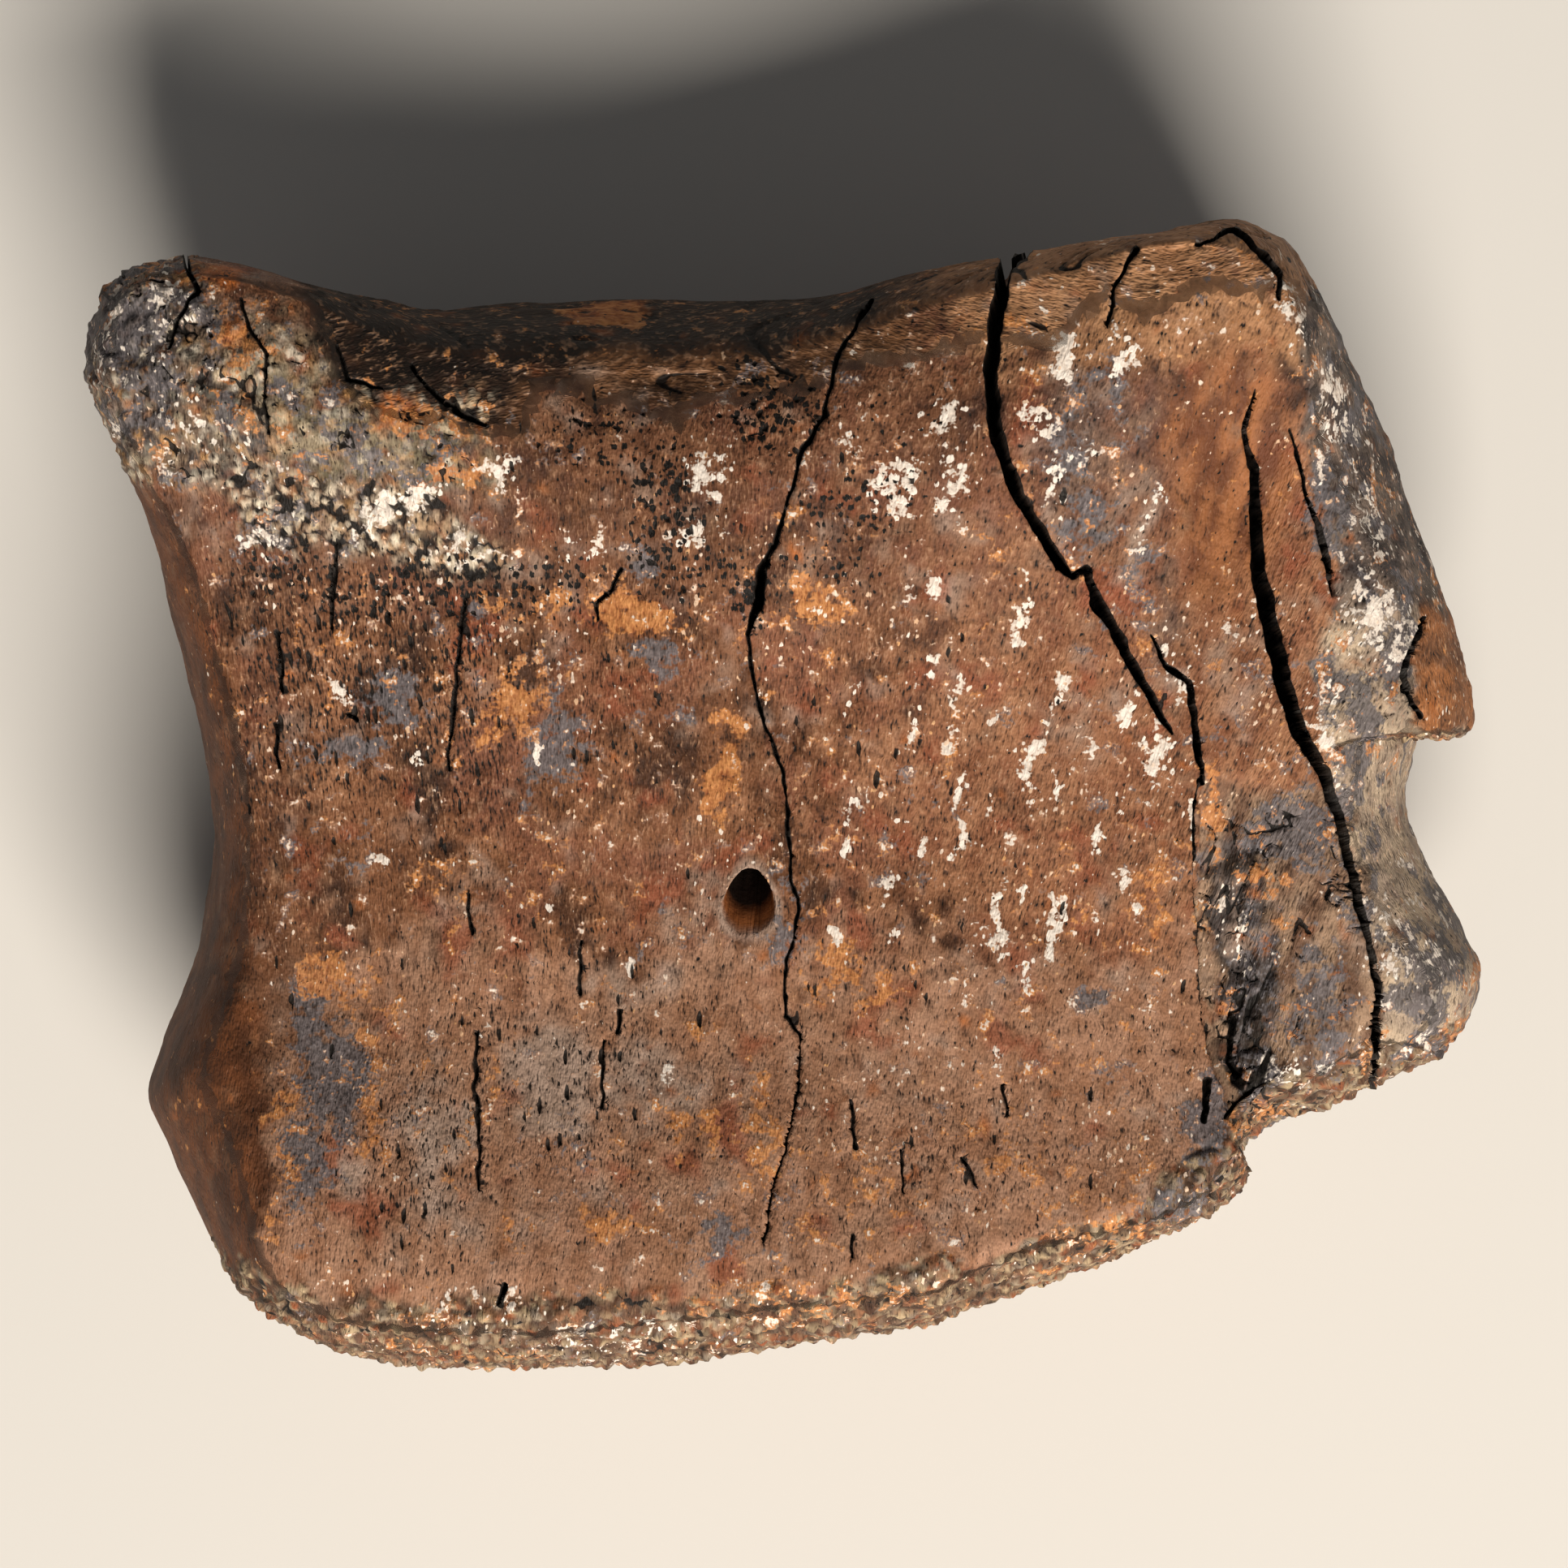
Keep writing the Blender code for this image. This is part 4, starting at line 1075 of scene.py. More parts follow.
@dataclass(frozen=True)
class Areas:
    """Where the areas of the back begin and end, as ramps in millimetres, and their ragged outlines."""

    # Cell and reach of the ragged shifts of an outline, from the coarsest to the finest.
    outline_jags: Rows = ((3.6, 1.3), (1.3, 0.585))
    # The tip face and the left face drop steeply, where a mark seen from above would run straight down.
    face_jag: tuple[float, float] = (8.0, 5.0)
    streak_jag: tuple[float, float] = (1.3, 0.22)
    band_jag: tuple[float, float] = (7.0, 3.0)
    # Over the distance past the border of each.
    plate: Ramp = Ramp(-0.4, 0.7)
    flank: Ramp = Ramp(0.7, -1.3)
    # The painted shade over the tip edge, which faces away from the key light.
    painted_tip_shade: Ramp = Ramp(-0.9, 0.9)
    crumb: Ramp = Ramp(0.9, -0.7)
    broken: Ramp = Ramp(-0.2, 0.5)
    broken_on_plate: Ramp = Ramp(0.0, 1.2)
    scar_starts: Ramp = Ramp(0.9, 2.0)
    scar_ends: Ramp = Ramp(6.6, 5.0)
    band: Ramp = Ramp(-1.5, 2.5)
    # Over x, which runs to the right.
    left_face: Ramp = Ramp(-44.0, -47.5)
    # Where the painted shade of the tip edge begins, and where it thins out to the right.
    painted_tip_shade_starts: Ramp = Ramp(-37.5, -34.0)
    painted_tip_shade_thins: Ramp = Ramp(4.0, 11.0)
    band_starts: Ramp = Ramp(-37.0, -32.0)
    band_untinted: Ramp = Ramp(6.0, 18.0)
    knob: Ramp = Ramp(-37.5, -42.0)
    # Where a lighter brown is painted on as fill light, over the right of the tip edge, which faces away from
    # the key.
    painted_tip_light: Ramp = Ramp(8.0, 17.0)
    upper_left: Ramp = Ramp(33.0, 28.0)
    flake: Ramp = Ramp(47.1, 47.9)
    warm: Ramp = Ramp(-8.0, 24.0)
    more_specks: Ramp = Ramp(0.0, 14.0)
    specks_left: Ramp = Ramp(12.0, -2.0)
    # Over the distance from the middle of the speckled area.
    specks_middle: Ramp = Ramp(22.0, 6.0)
    # Over y, which runs towards the tip.
    tip_face: Ramp = Ramp(32.0, 36.0)
    plate_stops: Ramp = Ramp(38.0, 40.0)
    flank_stops: Ramp = Ramp(27.0, 31.0)
    broken_stops: Ramp = Ramp(3.5, -2.0)
    knob_low: Ramp = Ramp(21.0, 26.0)
    painted_tip_light_low: Ramp = Ramp(30.0, 36.0)
    low: Ramp = Ramp(-5.0, -17.0)
    upper: Ramp = Ramp(6.0, 20.0)
    flake_high: Ramp = Ramp(15.5, 12.5)
    flake_low: Ramp = Ramp(3.9, 4.9)
    scar_high: Ramp = Ramp(-1.5, -5.0)
    scar_low: Ramp = Ramp(-28.0, -25.0)
    low_plate: Ramp = Ramp(18.0, 10.0)
    warm_stops: Ramp = Ramp(31.0, 18.0)
    # Over the height of the surface, how far below the rim it is, and its slope.
    face: Ramp = Ramp(33.0, 22.0)
    # How the painted shade of the tip edge runs out below the rim.
    painted_tip_shade_runs_out: Ramp = Ramp(0.8, 0.3)
    root_crumbs: Ramp = Ramp(0.4, 0.12)
    root_face: Ramp = Ramp(-0.5, -0.8)
    right_face: Ramp = Ramp(0.45, 0.8)


@dataclass(frozen=True)
class Scattered:
    """A stain that also lies about in small random patches."""

    name: str
    everywhere: float
    mottled: float
    washed: float
    # How much it is dimmed under the painted shade of the tip edge.
    dimmed_by_painted_shade: float


class StainMap:
    """Works out how strong each stain and wash is at each point of the skin."""

    # In the order in which their random patches are drawn. The last number dims each under the painted shade
    # of the tip edge.
    SCATTERED = (
        Scattered("ochre", 0.3, 0.4, 0.1, 0.0),
        Scattered("slate", 0.28, 1.0, 0.4, 0.3),
        Scattered("chalk", 0.05, 0.5, 0.6, 0.4),
        Scattered("pale", 0.4, 0.5, 0.5, 0.5),
    )
    ON_HIDDEN_SIDES = 0.75

    def __init__(self, fields: Fields, skin: Skin, sight: Sight) -> None:
        """Finds the ragged places that all the masks are read at, and what the camera sees of the skin.

        Args:
            fields: the random fields.
            skin: the bone's surface.
            sight: how the camera sees it.
        """
        self.fields, self.skin, self.areas, self.marks = fields, skin, Areas(), Marks()
        self.patches, self.height, self.seen = fields.patches, skin.points[:, 2], sight.seen(skin.points)
        self.ragged = self.rough_up()
        self.below = skin.below * (1 + 0.9 * self.patches.layers(skin.points + 850, 7.0, 3))
        self.in_sight = sight.share(self.below)
        self.masks: Masks = {}

    def build(self) -> Masks:
        """Strength of each stain: from the tables where the photograph shows it, and by random fields on the
        sides and the sole and, fainter, in between.

        Returns:
            Masks by name, about 0 to 1.
        """
        masks = self.masks
        masks |= {name: self.marks.ovals(self.ragged, rows) * self.in_sight for name, rows in PATCHES.items()}
        masks |= {name: self.marks.ovals(self.ragged, rows) for name, rows in TINTED_OVALS.items()}
        self.divide()
        self.scatter()
        streaked = self.fields.warp(self.seen, self.height, *self.areas.streak_jag)
        streaks = self.marks.streaks(streaked, CHALK_STREAKS) * self.in_sight
        masks["chalk"] = np.maximum(masks["chalk"], streaks)
        self.run_over_rim()
        self.tint()
        self.clean_up()
        return masks

    def rough_up(self) -> Array:
        """Shifts places raggedly, further on the steep faces.

        Returns:
            The shifted places.
        """
        areas, (x, y) = self.areas, self.seen.T
        ragged = self.seen
        for size, reach in areas.outline_jags:
            ragged = self.fields.warp(ragged, self.height, size, reach)
        steep = np.maximum(areas.tip_face.of(y), areas.left_face.of(x)) * areas.face.of(self.height)
        size, reach = areas.face_jag
        return self.fields.warp(ragged, self.height, size, reach * steep[:, None])

    def divide(self) -> None:
        """Makes a mask of each area that the borders divide the back into."""
        areas, patches, points, in_sight = self.areas, self.patches, self.skin.points, self.in_sight
        x, y = self.ragged.T
        past_plate, past_break = (past(line, self.ragged, Axis.Y) for line in (PLATE_BORDER, BREAK_LINE))
        # Painted shade over the tip edge, which faces away from the key light, thinning out to the right.
        painted_tip_shade = areas.painted_tip_shade.of(past(PAINTED_TIP_SHADE_BORDER, self.ragged, Axis.X)) * areas.painted_tip_shade_starts.of(x)
        painted_tip_shade *= 1 - 0.85 * areas.painted_tip_shade_thins.of(x)
        broken = areas.broken.of(past_break) * areas.broken_stops.of(y)
        torn = past_break + 1.5 * patches.at(points + 15, 3.0)
        scar = areas.scar_starts.of(torn) * areas.scar_ends.of(torn) * in_sight
        band = self.fields.warp(self.ragged, self.height, *areas.band_jag)
        over_edge = band[:, 1] - np.interp(band[:, 0], *BAND_EDGE)
        flank = areas.flank.of(past(SHOULDER, self.ragged, Axis.Y)) * (1 - areas.flank_stops.of(y))
        self.masks |= {
            "plate": areas.plate.of(past_plate) * (1 - areas.plate_stops.of(y)) * in_sight,
            "flank": flank * in_sight,
            "painted_tip_shade_all": painted_tip_shade,
            "painted_tip_shade": painted_tip_shade * areas.painted_tip_shade_runs_out.of(self.below),
            "crumb": areas.crumb.of(past(CRUMB_BORDER, self.ragged, Axis.X)) * in_sight,
            "broken": broken * (1 - areas.broken_on_plate.of(past_plate)),
            "knob": areas.knob.of(x + 0.4 * (y - 30.0)) * areas.knob_low.of(y) * in_sight,
            "top": areas.band_starts.of(band[:, 0]) * areas.band.of(over_edge) * in_sight,
            "scar": scar * areas.scar_high.of(y) * areas.scar_low.of(y),
            "flake": areas.flake.of(x) * areas.flake_high.of(y) * areas.flake_low.of(y) * in_sight,
            # Painted fill light on the right of the tip edge.
            "painted_tip_light": areas.painted_tip_light.of(x) * areas.painted_tip_light_low.of(y) * in_sight,
            "low": areas.low.of(y + 4.0 * patches.at(points + 5, 9.0)) * in_sight,
            "upper": areas.upper.of(y) * areas.upper_left.of(x) * in_sight,
        }

    def scatter(self) -> None:
        """Faint patches everywhere, stronger on the mottled knob and plate, and alone on the hidden sides."""
        masks, points = self.masks, self.skin.points
        mottled = [masks["knob"], 0.5 * masks["ash"], 0.85 * masks["plate"], 0.35 * masks["broken"]]
        mottled = np.maximum.reduce(mottled)
        for lag, stain in enumerate(self.SCATTERED):
            small = self.patches.layers(points + 31.0 * (lag + 1), 3.0, 3)
            wide = self.patches.at(points + 71.0 * (lag + 1), 12.0)
            strength = stain.everywhere + (stain.mottled - stain.everywhere) * mottled
            strength = np.where(self.in_sight > 0.5, strength, self.ON_HIDDEN_SIDES)
            level = Ramp(0.0, 0.75).of(small + 0.6 * wide + 0.25 * mottled)
            masks[stain.name] = np.maximum(masks[stain.name], strength * level)

    def run_over_rim(self) -> None:
        """Runs the areas down over the rim: plate on the right, crumbs at the root, else plain bone."""
        areas, masks, skin, hidden = self.areas, self.masks, self.skin, 1 - self.in_sight
        right_face = areas.right_face.of(skin.outward[:, 0])
        masks["plate"] = np.maximum(masks["plate"], hidden * 0.85 * right_face * (1 - skin.below))
        masks["bare_flank"] = masks["flank"]
        masks["flank"] = np.maximum(masks["flank"], hidden * 0.8)
        masks["broken"] = masks["broken"] * self.in_sight
        fallen = skin.below + 0.32 * self.patches.layers(skin.points + 800, 9.0, 3)
        root_crumbs = areas.root_face.of(skin.outward[:, 1]) * areas.root_crumbs.of(fallen) * 0.95
        masks["crumb"] = np.maximum(masks["crumb"], root_crumbs)

    def tint(self) -> None:
        """Broad tints that depend on the areas or drift over the whole bone."""
        areas, masks, patches, points = self.areas, self.masks, self.patches, self.skin.points
        x, y = self.ragged.T
        clouds = patches.layers(points, 12.0, 3)
        # The layered tip edge gets a darker brown, partly its own colour and partly painted shade where it
        # faces away from the key light.
        masks["tip_band_brown_and_shade"] = masks["top"] * (1 - areas.band_untinted.of(x))
        masks["low_plate"] = masks["plate"] * areas.low_plate.of(y + 0.4 * (x - 45.0)) * self.in_sight
        masks["warm"] = areas.warm.of(x + 8.0 * clouds) * areas.warm_stops.of(y - 0.12 * x)
        masks["rust"] = 1.1 * Ramp(0.3, 0.75).of(patches.layers(points + 440, 4.5, 3)) * (1 - masks["top"])
        masks["rosy"] = Ramp(-0.1, 0.4).of(patches.layers(points + 420, 7.0, 3))
        masks["smooth"] = np.maximum(0.78 * masks["flank"], 0.55 * masks["pit"])

    def clean_up(self) -> None:
        """Takes stains off the flank, the pit and the flake, dims them under the painted shade of the tip
        edge, and sets the specks.
        """
        areas, masks, (x, y) = self.areas, self.masks, self.ragged.T
        clean = np.maximum.reduce([masks["bare_flank"], masks["pit"], masks["flake"]])
        for stain in self.SCATTERED:
            mask = masks[stain.name] * (1 - clean)
            masks[stain.name] = mask - stain.washed * clean - stain.dimmed_by_painted_shade * masks["painted_tip_shade"]
        quiet = np.maximum.reduce([masks["smooth"], masks["painted_tip_shade_all"], 0.5 * masks["slate"]])
        speckle = 0.3 + 0.7 * self.patches.layers(self.skin.points + 9, 6.0, 2)
        speckle += 0.25 * areas.more_specks.of(x)
        speckle += 0.35 * areas.specks_middle.of(abs(y - 8.0)) * areas.specks_left.of(x)
        masks["speckle"] = np.clip(speckle, 0, 1) * (1 - 0.85 * quiet)


@dataclass(frozen=True)
class FineCracks:
    """Fine cracks, which run where a random field passes through zero, in millimetres."""

    course: Swell
    half: float
    # Another field closes them in places, by so much.
    closing: float = 0.0
    closer: Swell | None = None
    closed: Ramp = Ramp(0.0, 0.25)
    depth: float = 0.3
    edge: Ramp = Ramp(0.1, -0.08)

    def gap(self, course: Array, closer: Array | float, outside: Array) -> Array:
        """Distance to the nearest crack: the height of the course less the half width, and more outside."""
        gap = abs(course) - self.half + 3.0 * outside
        return gap + self.closing * self.closed.of(closer) if self.closer else gap

    def fall(self, gap: Array) -> Array:
        """Depth at each gap."""
        return self.depth * self.edge.of(gap)


@dataclass(frozen=True)
class Grains:
    """Grains of one kind that stand out of the bone: a dome, 1 - r squared, over each scattered spot."""

    spots: Spots
    rise: float
    # As parts of the rise: the lowest grain, how much higher the highest is, and how far the bed is sunk.
    least: float
    spread: float
    sunk: float

    def dome(self, first: Array, share: Array) -> Array:
        """Height at a distance from the middle of the nearest spot, whose random share is given."""
        return self.rise * (np.clip(1 - first**2, 0, 1) * (self.least + self.spread * share) - self.sunk)


@dataclass(frozen=True)
class Pits:
    """Small openings of one kind, one to a cell where its luck is less than their density."""

    spots: Spots
    depth: float
    walls: Ramp
    fewest: float
    open_share: float
    opens: Ramp
    # Sizes in half-lengths of a spot: the smallest, how much larger the largest is, and the power between.
    least: float
    spread: float
    bend: int
    # Turns a distance in half-lengths into millimetres.
    width: float

    def dig(self, scatter: Scatter, places: Array, density: Array, height: Array, gap: Array) -> None:
        """Sinks the openings into the surface.

        Args:
            scatter: the random places.
            places: points, measured along the fibres where the openings follow them.
            density: how many there are at each point.
            height: lowered in place.
            gap: distance to the nearest opening, changed in place.
        """
        here = np.flatnonzero(density > self.fewest)
        first, _, share = scatter.near(places[here], self.spots)
        size = self.least + self.spread * share**self.bend
        kept = self.opens.of(self.open_share * density[here] - scatter.luck(share))
        inside = np.clip(size - first, 0, 1) * kept
        height[here] -= self.depth * self.walls.of(inside)
        gap[here] = np.minimum(gap[here], np.where(kept > 0.4, (first - size) * self.width, NO_GAP))


@dataclass(frozen=True)
class Weathering:
    """Everything that time did to the surface, in millimetres."""

    lump: Swell = Swell(0.2, 9.0)
    dent: Swell = Swell(0.12, 3.2, 50)
    grain: Swell = Swell(0.05, 1.0, 90, 2)
    # Real fibres are a tenth of a millimetre wide, less than a pixel, so they are drawn coarser.
    fibre: Swell = Swell(0.045, (0.9, 5.0, 2.4))
    bundle: Swell = Swell(0.054, (2.1, 12.0, 4.0), 40)
    lamina: Swell = Swell(0.14, (0.8, 7.0, 2.0))
    thin_lamina: Swell = Swell(0.07, (0.45, 3.0, 2.0), 70)
    knob_lump: Swell = Swell(0.46, 2.8, 130, 4)
    plate_lump: Swell = Swell(0.184, 2.2, 150, 3)
    crumb_lump: Swell = Swell(0.21, 2.6, 200, 3)
    torn_fibre: Swell = Swell(1.0, (0.9, 6.0, 3.0), 300)
    torn_lump: Swell = Swell(0.9, 2.2, 310, 3)
    torn: float = 0.55
    # How much of the fine relief is left on the hidden sides.
    least_fine: float = 0.35

    crease: FineCracks = FineCracks(Swell(2.4, 3.2, 170, 3), 0.1, 1.5, Swell(1.0, 4.5, 190))
    split: FineCracks = FineCracks(
        Swell(1.3, (1.5, 9.0, 3.5), 33), 0.07, 1.2, Swell(1.0, 5.0, 210), Ramp(-0.1, 0.15)
    )
    tear: FineCracks = FineCracks(Swell(1.4, (1.2, 7.0, 3.0), 77), 0.08)
    hidden_crack: FineCracks = FineCracks(
        Swell(9.0, 17.0), 0.12, 4.0, Swell(1.0, 21.0, 70), Ramp(-0.05, 0.2), 0.6, Ramp(0.12, -0.12)
    )
    nodule: Grains = Grains(Spots((0.7, 0.8, 0.7), (0.4, 0.47, 0.4)), 0.34, 0.5, 0.5, 0.35)
    crumb: Grains = Grains(Spots((1.0, 1.0, 1.0), (0.58, 0.58, 0.58), 60), 0.42, 0.3, 1.0, 0.3)
    small_crumb: Grains = Grains(Spots((0.7, 0.7, 0.7), (0.4, 0.4, 0.4), 40), 0.126, 0.0, 1.0, 0.0)
    mottle: Grains = Grains(Spots((0.8, 0.8, 0.8), (0.46, 0.46, 0.46), 80), 0.22, 0.3, 1.0, 0.3)
    pore: Pits = Pits(
        Spots((0.62, 0.62, 0.62), (0.2, 0.2, 0.2)), 0.45, Ramp(0.0, 0.7), 0.08,
        0.95, Ramp(0.0, 0.12), 0.6, 0.75, 1, 0.2,
    )
    slit: Pits = Pits(
        Spots((0.75, 2.2, 1.8), (0.15, 0.6, 0.8)), 0.4, Ramp(0.0, 0.8), 0.04,
        0.9, Ramp(0.0, 0.1), 0.5, 0.8, 2, 0.15,
    )
    # The scar of the lost slab: its ragged edge, the sharp step, its fading to the right and where it stops.
    break_jag: tuple[float, float] = (1.6, 0.3)
    break_step: Ramp = Ramp(-0.12, 0.22)
    break_fade: Ramp = Ramp(2.0, 8.0)
    break_end: Ramp = Ramp(2.2, 0.8)
    # The bone is worn flat where it lies, over the height above the ground.
    worn_flat: Ramp = Ramp(0.2, 1.2)


class Relief:
    """Works out the height of the weathering and the small openings in it."""

    def __init__(self, fields: Fields, skin: Skin, seen: Array, in_sight: Array, masks: Masks) -> None:
        """Starts with broad lumps and no openings.

        Args:
            fields: the random fields.
            skin: the bone's surface.
            seen: places as the camera sees them.
            in_sight: 1 where the camera sees the surface.
            masks: strength of each stain and texture, to which the grains are added.
        """
        self.fields, self.points, self.masks, self.wear = fields, skin.points, masks, Weathering()
        self.lumps, self.seen, self.in_sight = fields.lumps, seen, in_sight
        self.way, self.layers = Fibres().way(skin.points), Fibres().along_tip(skin.points)
        self.height = self.wear.lump.on(self.lumps, self.points) + self.wear.dent.on(self.lumps, self.points)
        self.gap = np.full(len(self.points), NO_GAP)

    def build(self) -> tuple[Array, Array]:
        """Adds all the weathering to the skin.

        Returns:
            Heights along the normal in millimetres, and the distance to the nearest small opening in
            millimetres, below zero inside it.
        """
        wear, masks, hidden = self.wear, self.masks, 1 - self.in_sight
        self.add_grain()
        self.crack_finely()
        self.add_nodules()
        self.add_crumbs()
        self.add_mottles()
        self.tear_slab_off()
        density = np.maximum(masks["spongy"], 0.12 * hidden)
        wear.pore.dig(self.fields.pores, self.points, density, self.height, self.gap)
        closed = np.maximum.reduce([masks["painted_tip_shade"], masks["crumb"], masks["smooth"], masks["ash"]])
        density = np.maximum(masks["slits"], 0.12 + 0.06 * hidden) * (1 - closed)
        wear.slit.dig(self.fields.slits, self.way, density, self.height, self.gap)
        return self.height, self.gap

    def add_grain(self) -> None:
        """Fine grain and fibres, thin layers along the tip edge, and the lumps of the knob and the plate."""
        wear, masks, lumps, fibres = self.wear, self.masks, self.lumps, self.fields.fibres
        fine = wear.least_fine + (1 - wear.least_fine) * self.in_sight
        plain = 1 - np.maximum.reduce([masks["smooth"], masks["crumb"], masks["ash"], masks["painted_tip_shade"]])
        height = fine * wear.grain.on(lumps, self.points)
        height += fine * plain * (wear.fibre.on(fibres, self.way) + wear.bundle.on(fibres, self.way))
        for swell in (wear.lamina, wear.thin_lamina):
            height += masks["top"] * swell.on(fibres, self.layers)
        height += np.maximum(masks["ash"], masks["knob"]) * wear.knob_lump.on(lumps, self.points)
        self.height += height + masks["plate"] * wear.plate_lump.on(lumps, self.points)

    def crack_finely(self) -> None:
        """Creases of the knob, splits between the layers of the tip edge, and tears of the scar."""
        wear, masks, fibres = self.wear, self.masks, self.fields.fibres
        rugged = np.maximum.reduce([masks["ash"], masks["knob"], 0.6 * masks["broken"]])
        for kind, course, outside in (
            (wear.crease, wear.crease.course.on(self.lumps, self.points), Ramp(0.6, 0.3).of(rugged)),
            (wear.split, wear.split.course.on(fibres, self.layers), Ramp(0.8, 0.5).of(masks["top"])),
            (wear.tear, wear.tear.course.on(fibres, self.way), Ramp(0.7, 0.4).of(masks["scar"])),
        ):
            closer = kind.closer.on(self.lumps, self.points) if kind.closer else 0.0
            opening = kind.gap(course, closer, outside)
            self.height -= kind.fall(opening)
            np.minimum(self.gap, opening, out=self.gap)

    def part(self, here: Array, opening: Array, there: Array) -> None:
        """Opens gaps at the points here, where they are there at all."""
        self.gap[here] = np.minimum(self.gap[here], np.where(there, opening, NO_GAP))

    def keep_grains(self, name: str, here: Array, cover: Array, luck: Array) -> None:
        """Keeps how much of each point here a grain covers, and the luck that picks its tint."""
        self.masks[name] = np.zeros((len(self.points), 2))
        self.masks[name][here] = np.stack([cover, luck], 1)

    def add_nodules(self) -> None:
        """Round cream grains with dark gaps between."""
        wear, masks, grains = self.wear, self.masks, self.fields.grains
        here = np.flatnonzero(masks["nodules"] > 0.25)
        spots = self.points[here]
        first, _, share = grains.near(spots, wear.nodule.spots)
        strength = Ramp(0.25, 0.6).of(masks["nodules"][here])
        self.height[here] += strength * wear.nodule.dome(first, share)
        between = 0.3 * (0.84 + 0.35 * share - first) + 0.1 * self.lumps.at(spots, 1.8)
        bed = 0.024 - 0.06 * Ramp(-0.2, 0.25).of(self.lumps.at(spots + 30, 1.3))
        self.part(here, np.maximum(between, bed), strength > 0.5)
        masks["nodule_bed"] = np.zeros(len(self.points))
        masks["nodule_bed"][here] = strength
        self.keep_grains("nodule_grains", here, strength * Ramp(0.0, 0.08).of(between), grains.luck(share))

    def add_crumbs(self) -> None:
        """Loose grains of the broken rim, of two sizes."""
        wear, grains = self.wear, self.fields.grains
        here = np.flatnonzero(self.masks["crumb"] > 0.05)
        spots, strength = self.points[here], self.masks["crumb"][here]
        first, second, share = grains.near(spots, wear.crumb.spots)
        small, _, luck = self.fields.pores.near(spots, wear.small_crumb.spots)
        rise = wear.crumb.dome(first, share) + wear.small_crumb.dome(small, luck)
        self.height[here] += strength * (rise + wear.crumb_lump.on(self.lumps, spots))
        between = (second - first) * 0.72 - 0.28 + 0.55 * share
        bed = 0.018 - 0.06 * Ramp(-0.2, 0.3).of(self.lumps.at(spots + 35, 1.2))
        self.part(here, np.maximum(between, bed), strength > 0.6)
        cover = Ramp(0.3, 0.7).of(strength) * Ramp(1.2, 0.85).of(first)
        self.keep_grains("crumb_grains", here, cover, grains.luck(0.6 * share + 0.4 * luck))

    def add_mottles(self) -> None:
        """Grains of many colours that stand out of the knob and the plateau."""
        strength, grains = np.maximum(self.masks["ash"], self.masks["knob"]), self.fields.grains
        here = np.flatnonzero(strength > 0.2)
        first, _, share = grains.near(self.points[here], self.wear.mottle.spots)
        shown = Ramp(0.25, 0.6).of(strength[here])
        self.height[here] += shown * self.wear.mottle.dome(first, share)
        self.keep_grains("mottle_grains", here, 0.8 * shown * Ramp(1.0, 0.75).of(first), grains.luck(share))

    def tear_slab_off(self) -> None:
        """The scar of the lost slab: a sharp step down that fades to the right, and torn fibres."""
        wear, masks, y = self.wear, self.masks, self.seen[:, 1]
        over = past(BREAK_LINE, self.fields.warp(self.seen, self.points[:, 2], *wear.break_jag), Axis.Y)
        table = np.array(sorted(BREAK_LINE, key=lambda point: point[Axis.Y]))
        drop = np.interp(y, table[:, 1], table[:, 2])
        drop *= wear.break_step.of(over) * (1 - wear.break_fade.of(over))
        self.height -= drop * wear.break_end.of(y) * self.in_sight
        torn = wear.torn_fibre.on(self.fields.fibres, self.points)
        torn += wear.torn_lump.on(self.lumps, self.points)
        self.height += wear.torn * masks["broken"] * (0.3 + 0.6 * masks["scar"]) * torn


def add_node(
    tree: bpy.types.NodeTree, kind: Kind, inputs: Sockets | None = None, **settings: object
) -> bpy.types.NodeOutputs:
    """Adds a node to a material.

    Args:
        tree: the material's nodes.
        kind: what it does.
        inputs: values and links by the name or number of the input.
        **settings: its own settings.

    Returns:
        Its outputs.
    """
    node = tree.nodes.new(kind.value)
    for name, value in settings.items():
        setattr(node, name, value)
    for key, value in (inputs or {}).items():
        if isinstance(value, Socket):
            tree.links.new(value, node.inputs[key])
        else:
            node.inputs[key].default_value = value
    return node.outputs


@dataclass(frozen=True)
class Wash:
    """A broad colour of the bone, held by the points of the skin."""

    mask: str
    colour: str
    cloud: str
    share: float = 0.9
    ragged: float = 0.5
    streaked: bool = False


@dataclass(frozen=True)
class Stain:
    """A crisp stain, laid by the material over the broad colours."""

    mask: str
    colour: str
    fleck: str
    ragged: float
    bare: float
    share: float


@dataclass(frozen=True)
class Speck:
    """Specks of one kind, one to a small cell here and there."""

    fact: str
    counts: float
    passes: float
    growth: float
    sharpness: float
    dark: bool
    channel: int


@dataclass(frozen=True)
class Cover:
    """A colour that covers the bone where a value runs from one number to another."""

    low: float
    high: float
    most: float
    colour: str

    def lay(
        self, tree: bpy.types.NodeTree, value: Socket, colour: Socket, smooth: Socket | None = None
    ) -> Socket:
        """Lays the colour over the one below.

        Args:
            tree: the material's nodes.
            value: what it depends on.
            colour: the colour below.
            smooth: where the surface is worn smooth, which thins it.

        Returns:
            The colour that results.
        """
        span = {"Value": value, "From Min": self.low, "From Max": self.high, "To Max": self.most}
        factor = add_node(tree, Kind.RAMP, span)[0]
        if smooth:
            thinned = {0: smooth, 1: -0.45, 2: factor}
            factor = add_node(tree, Kind.MATHS, thinned, operation="MULTIPLY_ADD", use_clamp=True)[0]
        tint = to_linear(self.colour)
        return add_node(tree, Kind.MIX, {0: factor, 6: colour, 7: tint}, data_type="RGBA")[2]


@dataclass(frozen=True)
class Ground:
    """What the steps of the material share."""

    tree: bpy.types.NodeTree
    facts: dict[str, Socket]
    way: Socket
    threads: Socket
    crumble: Socket
    grainy: Socket


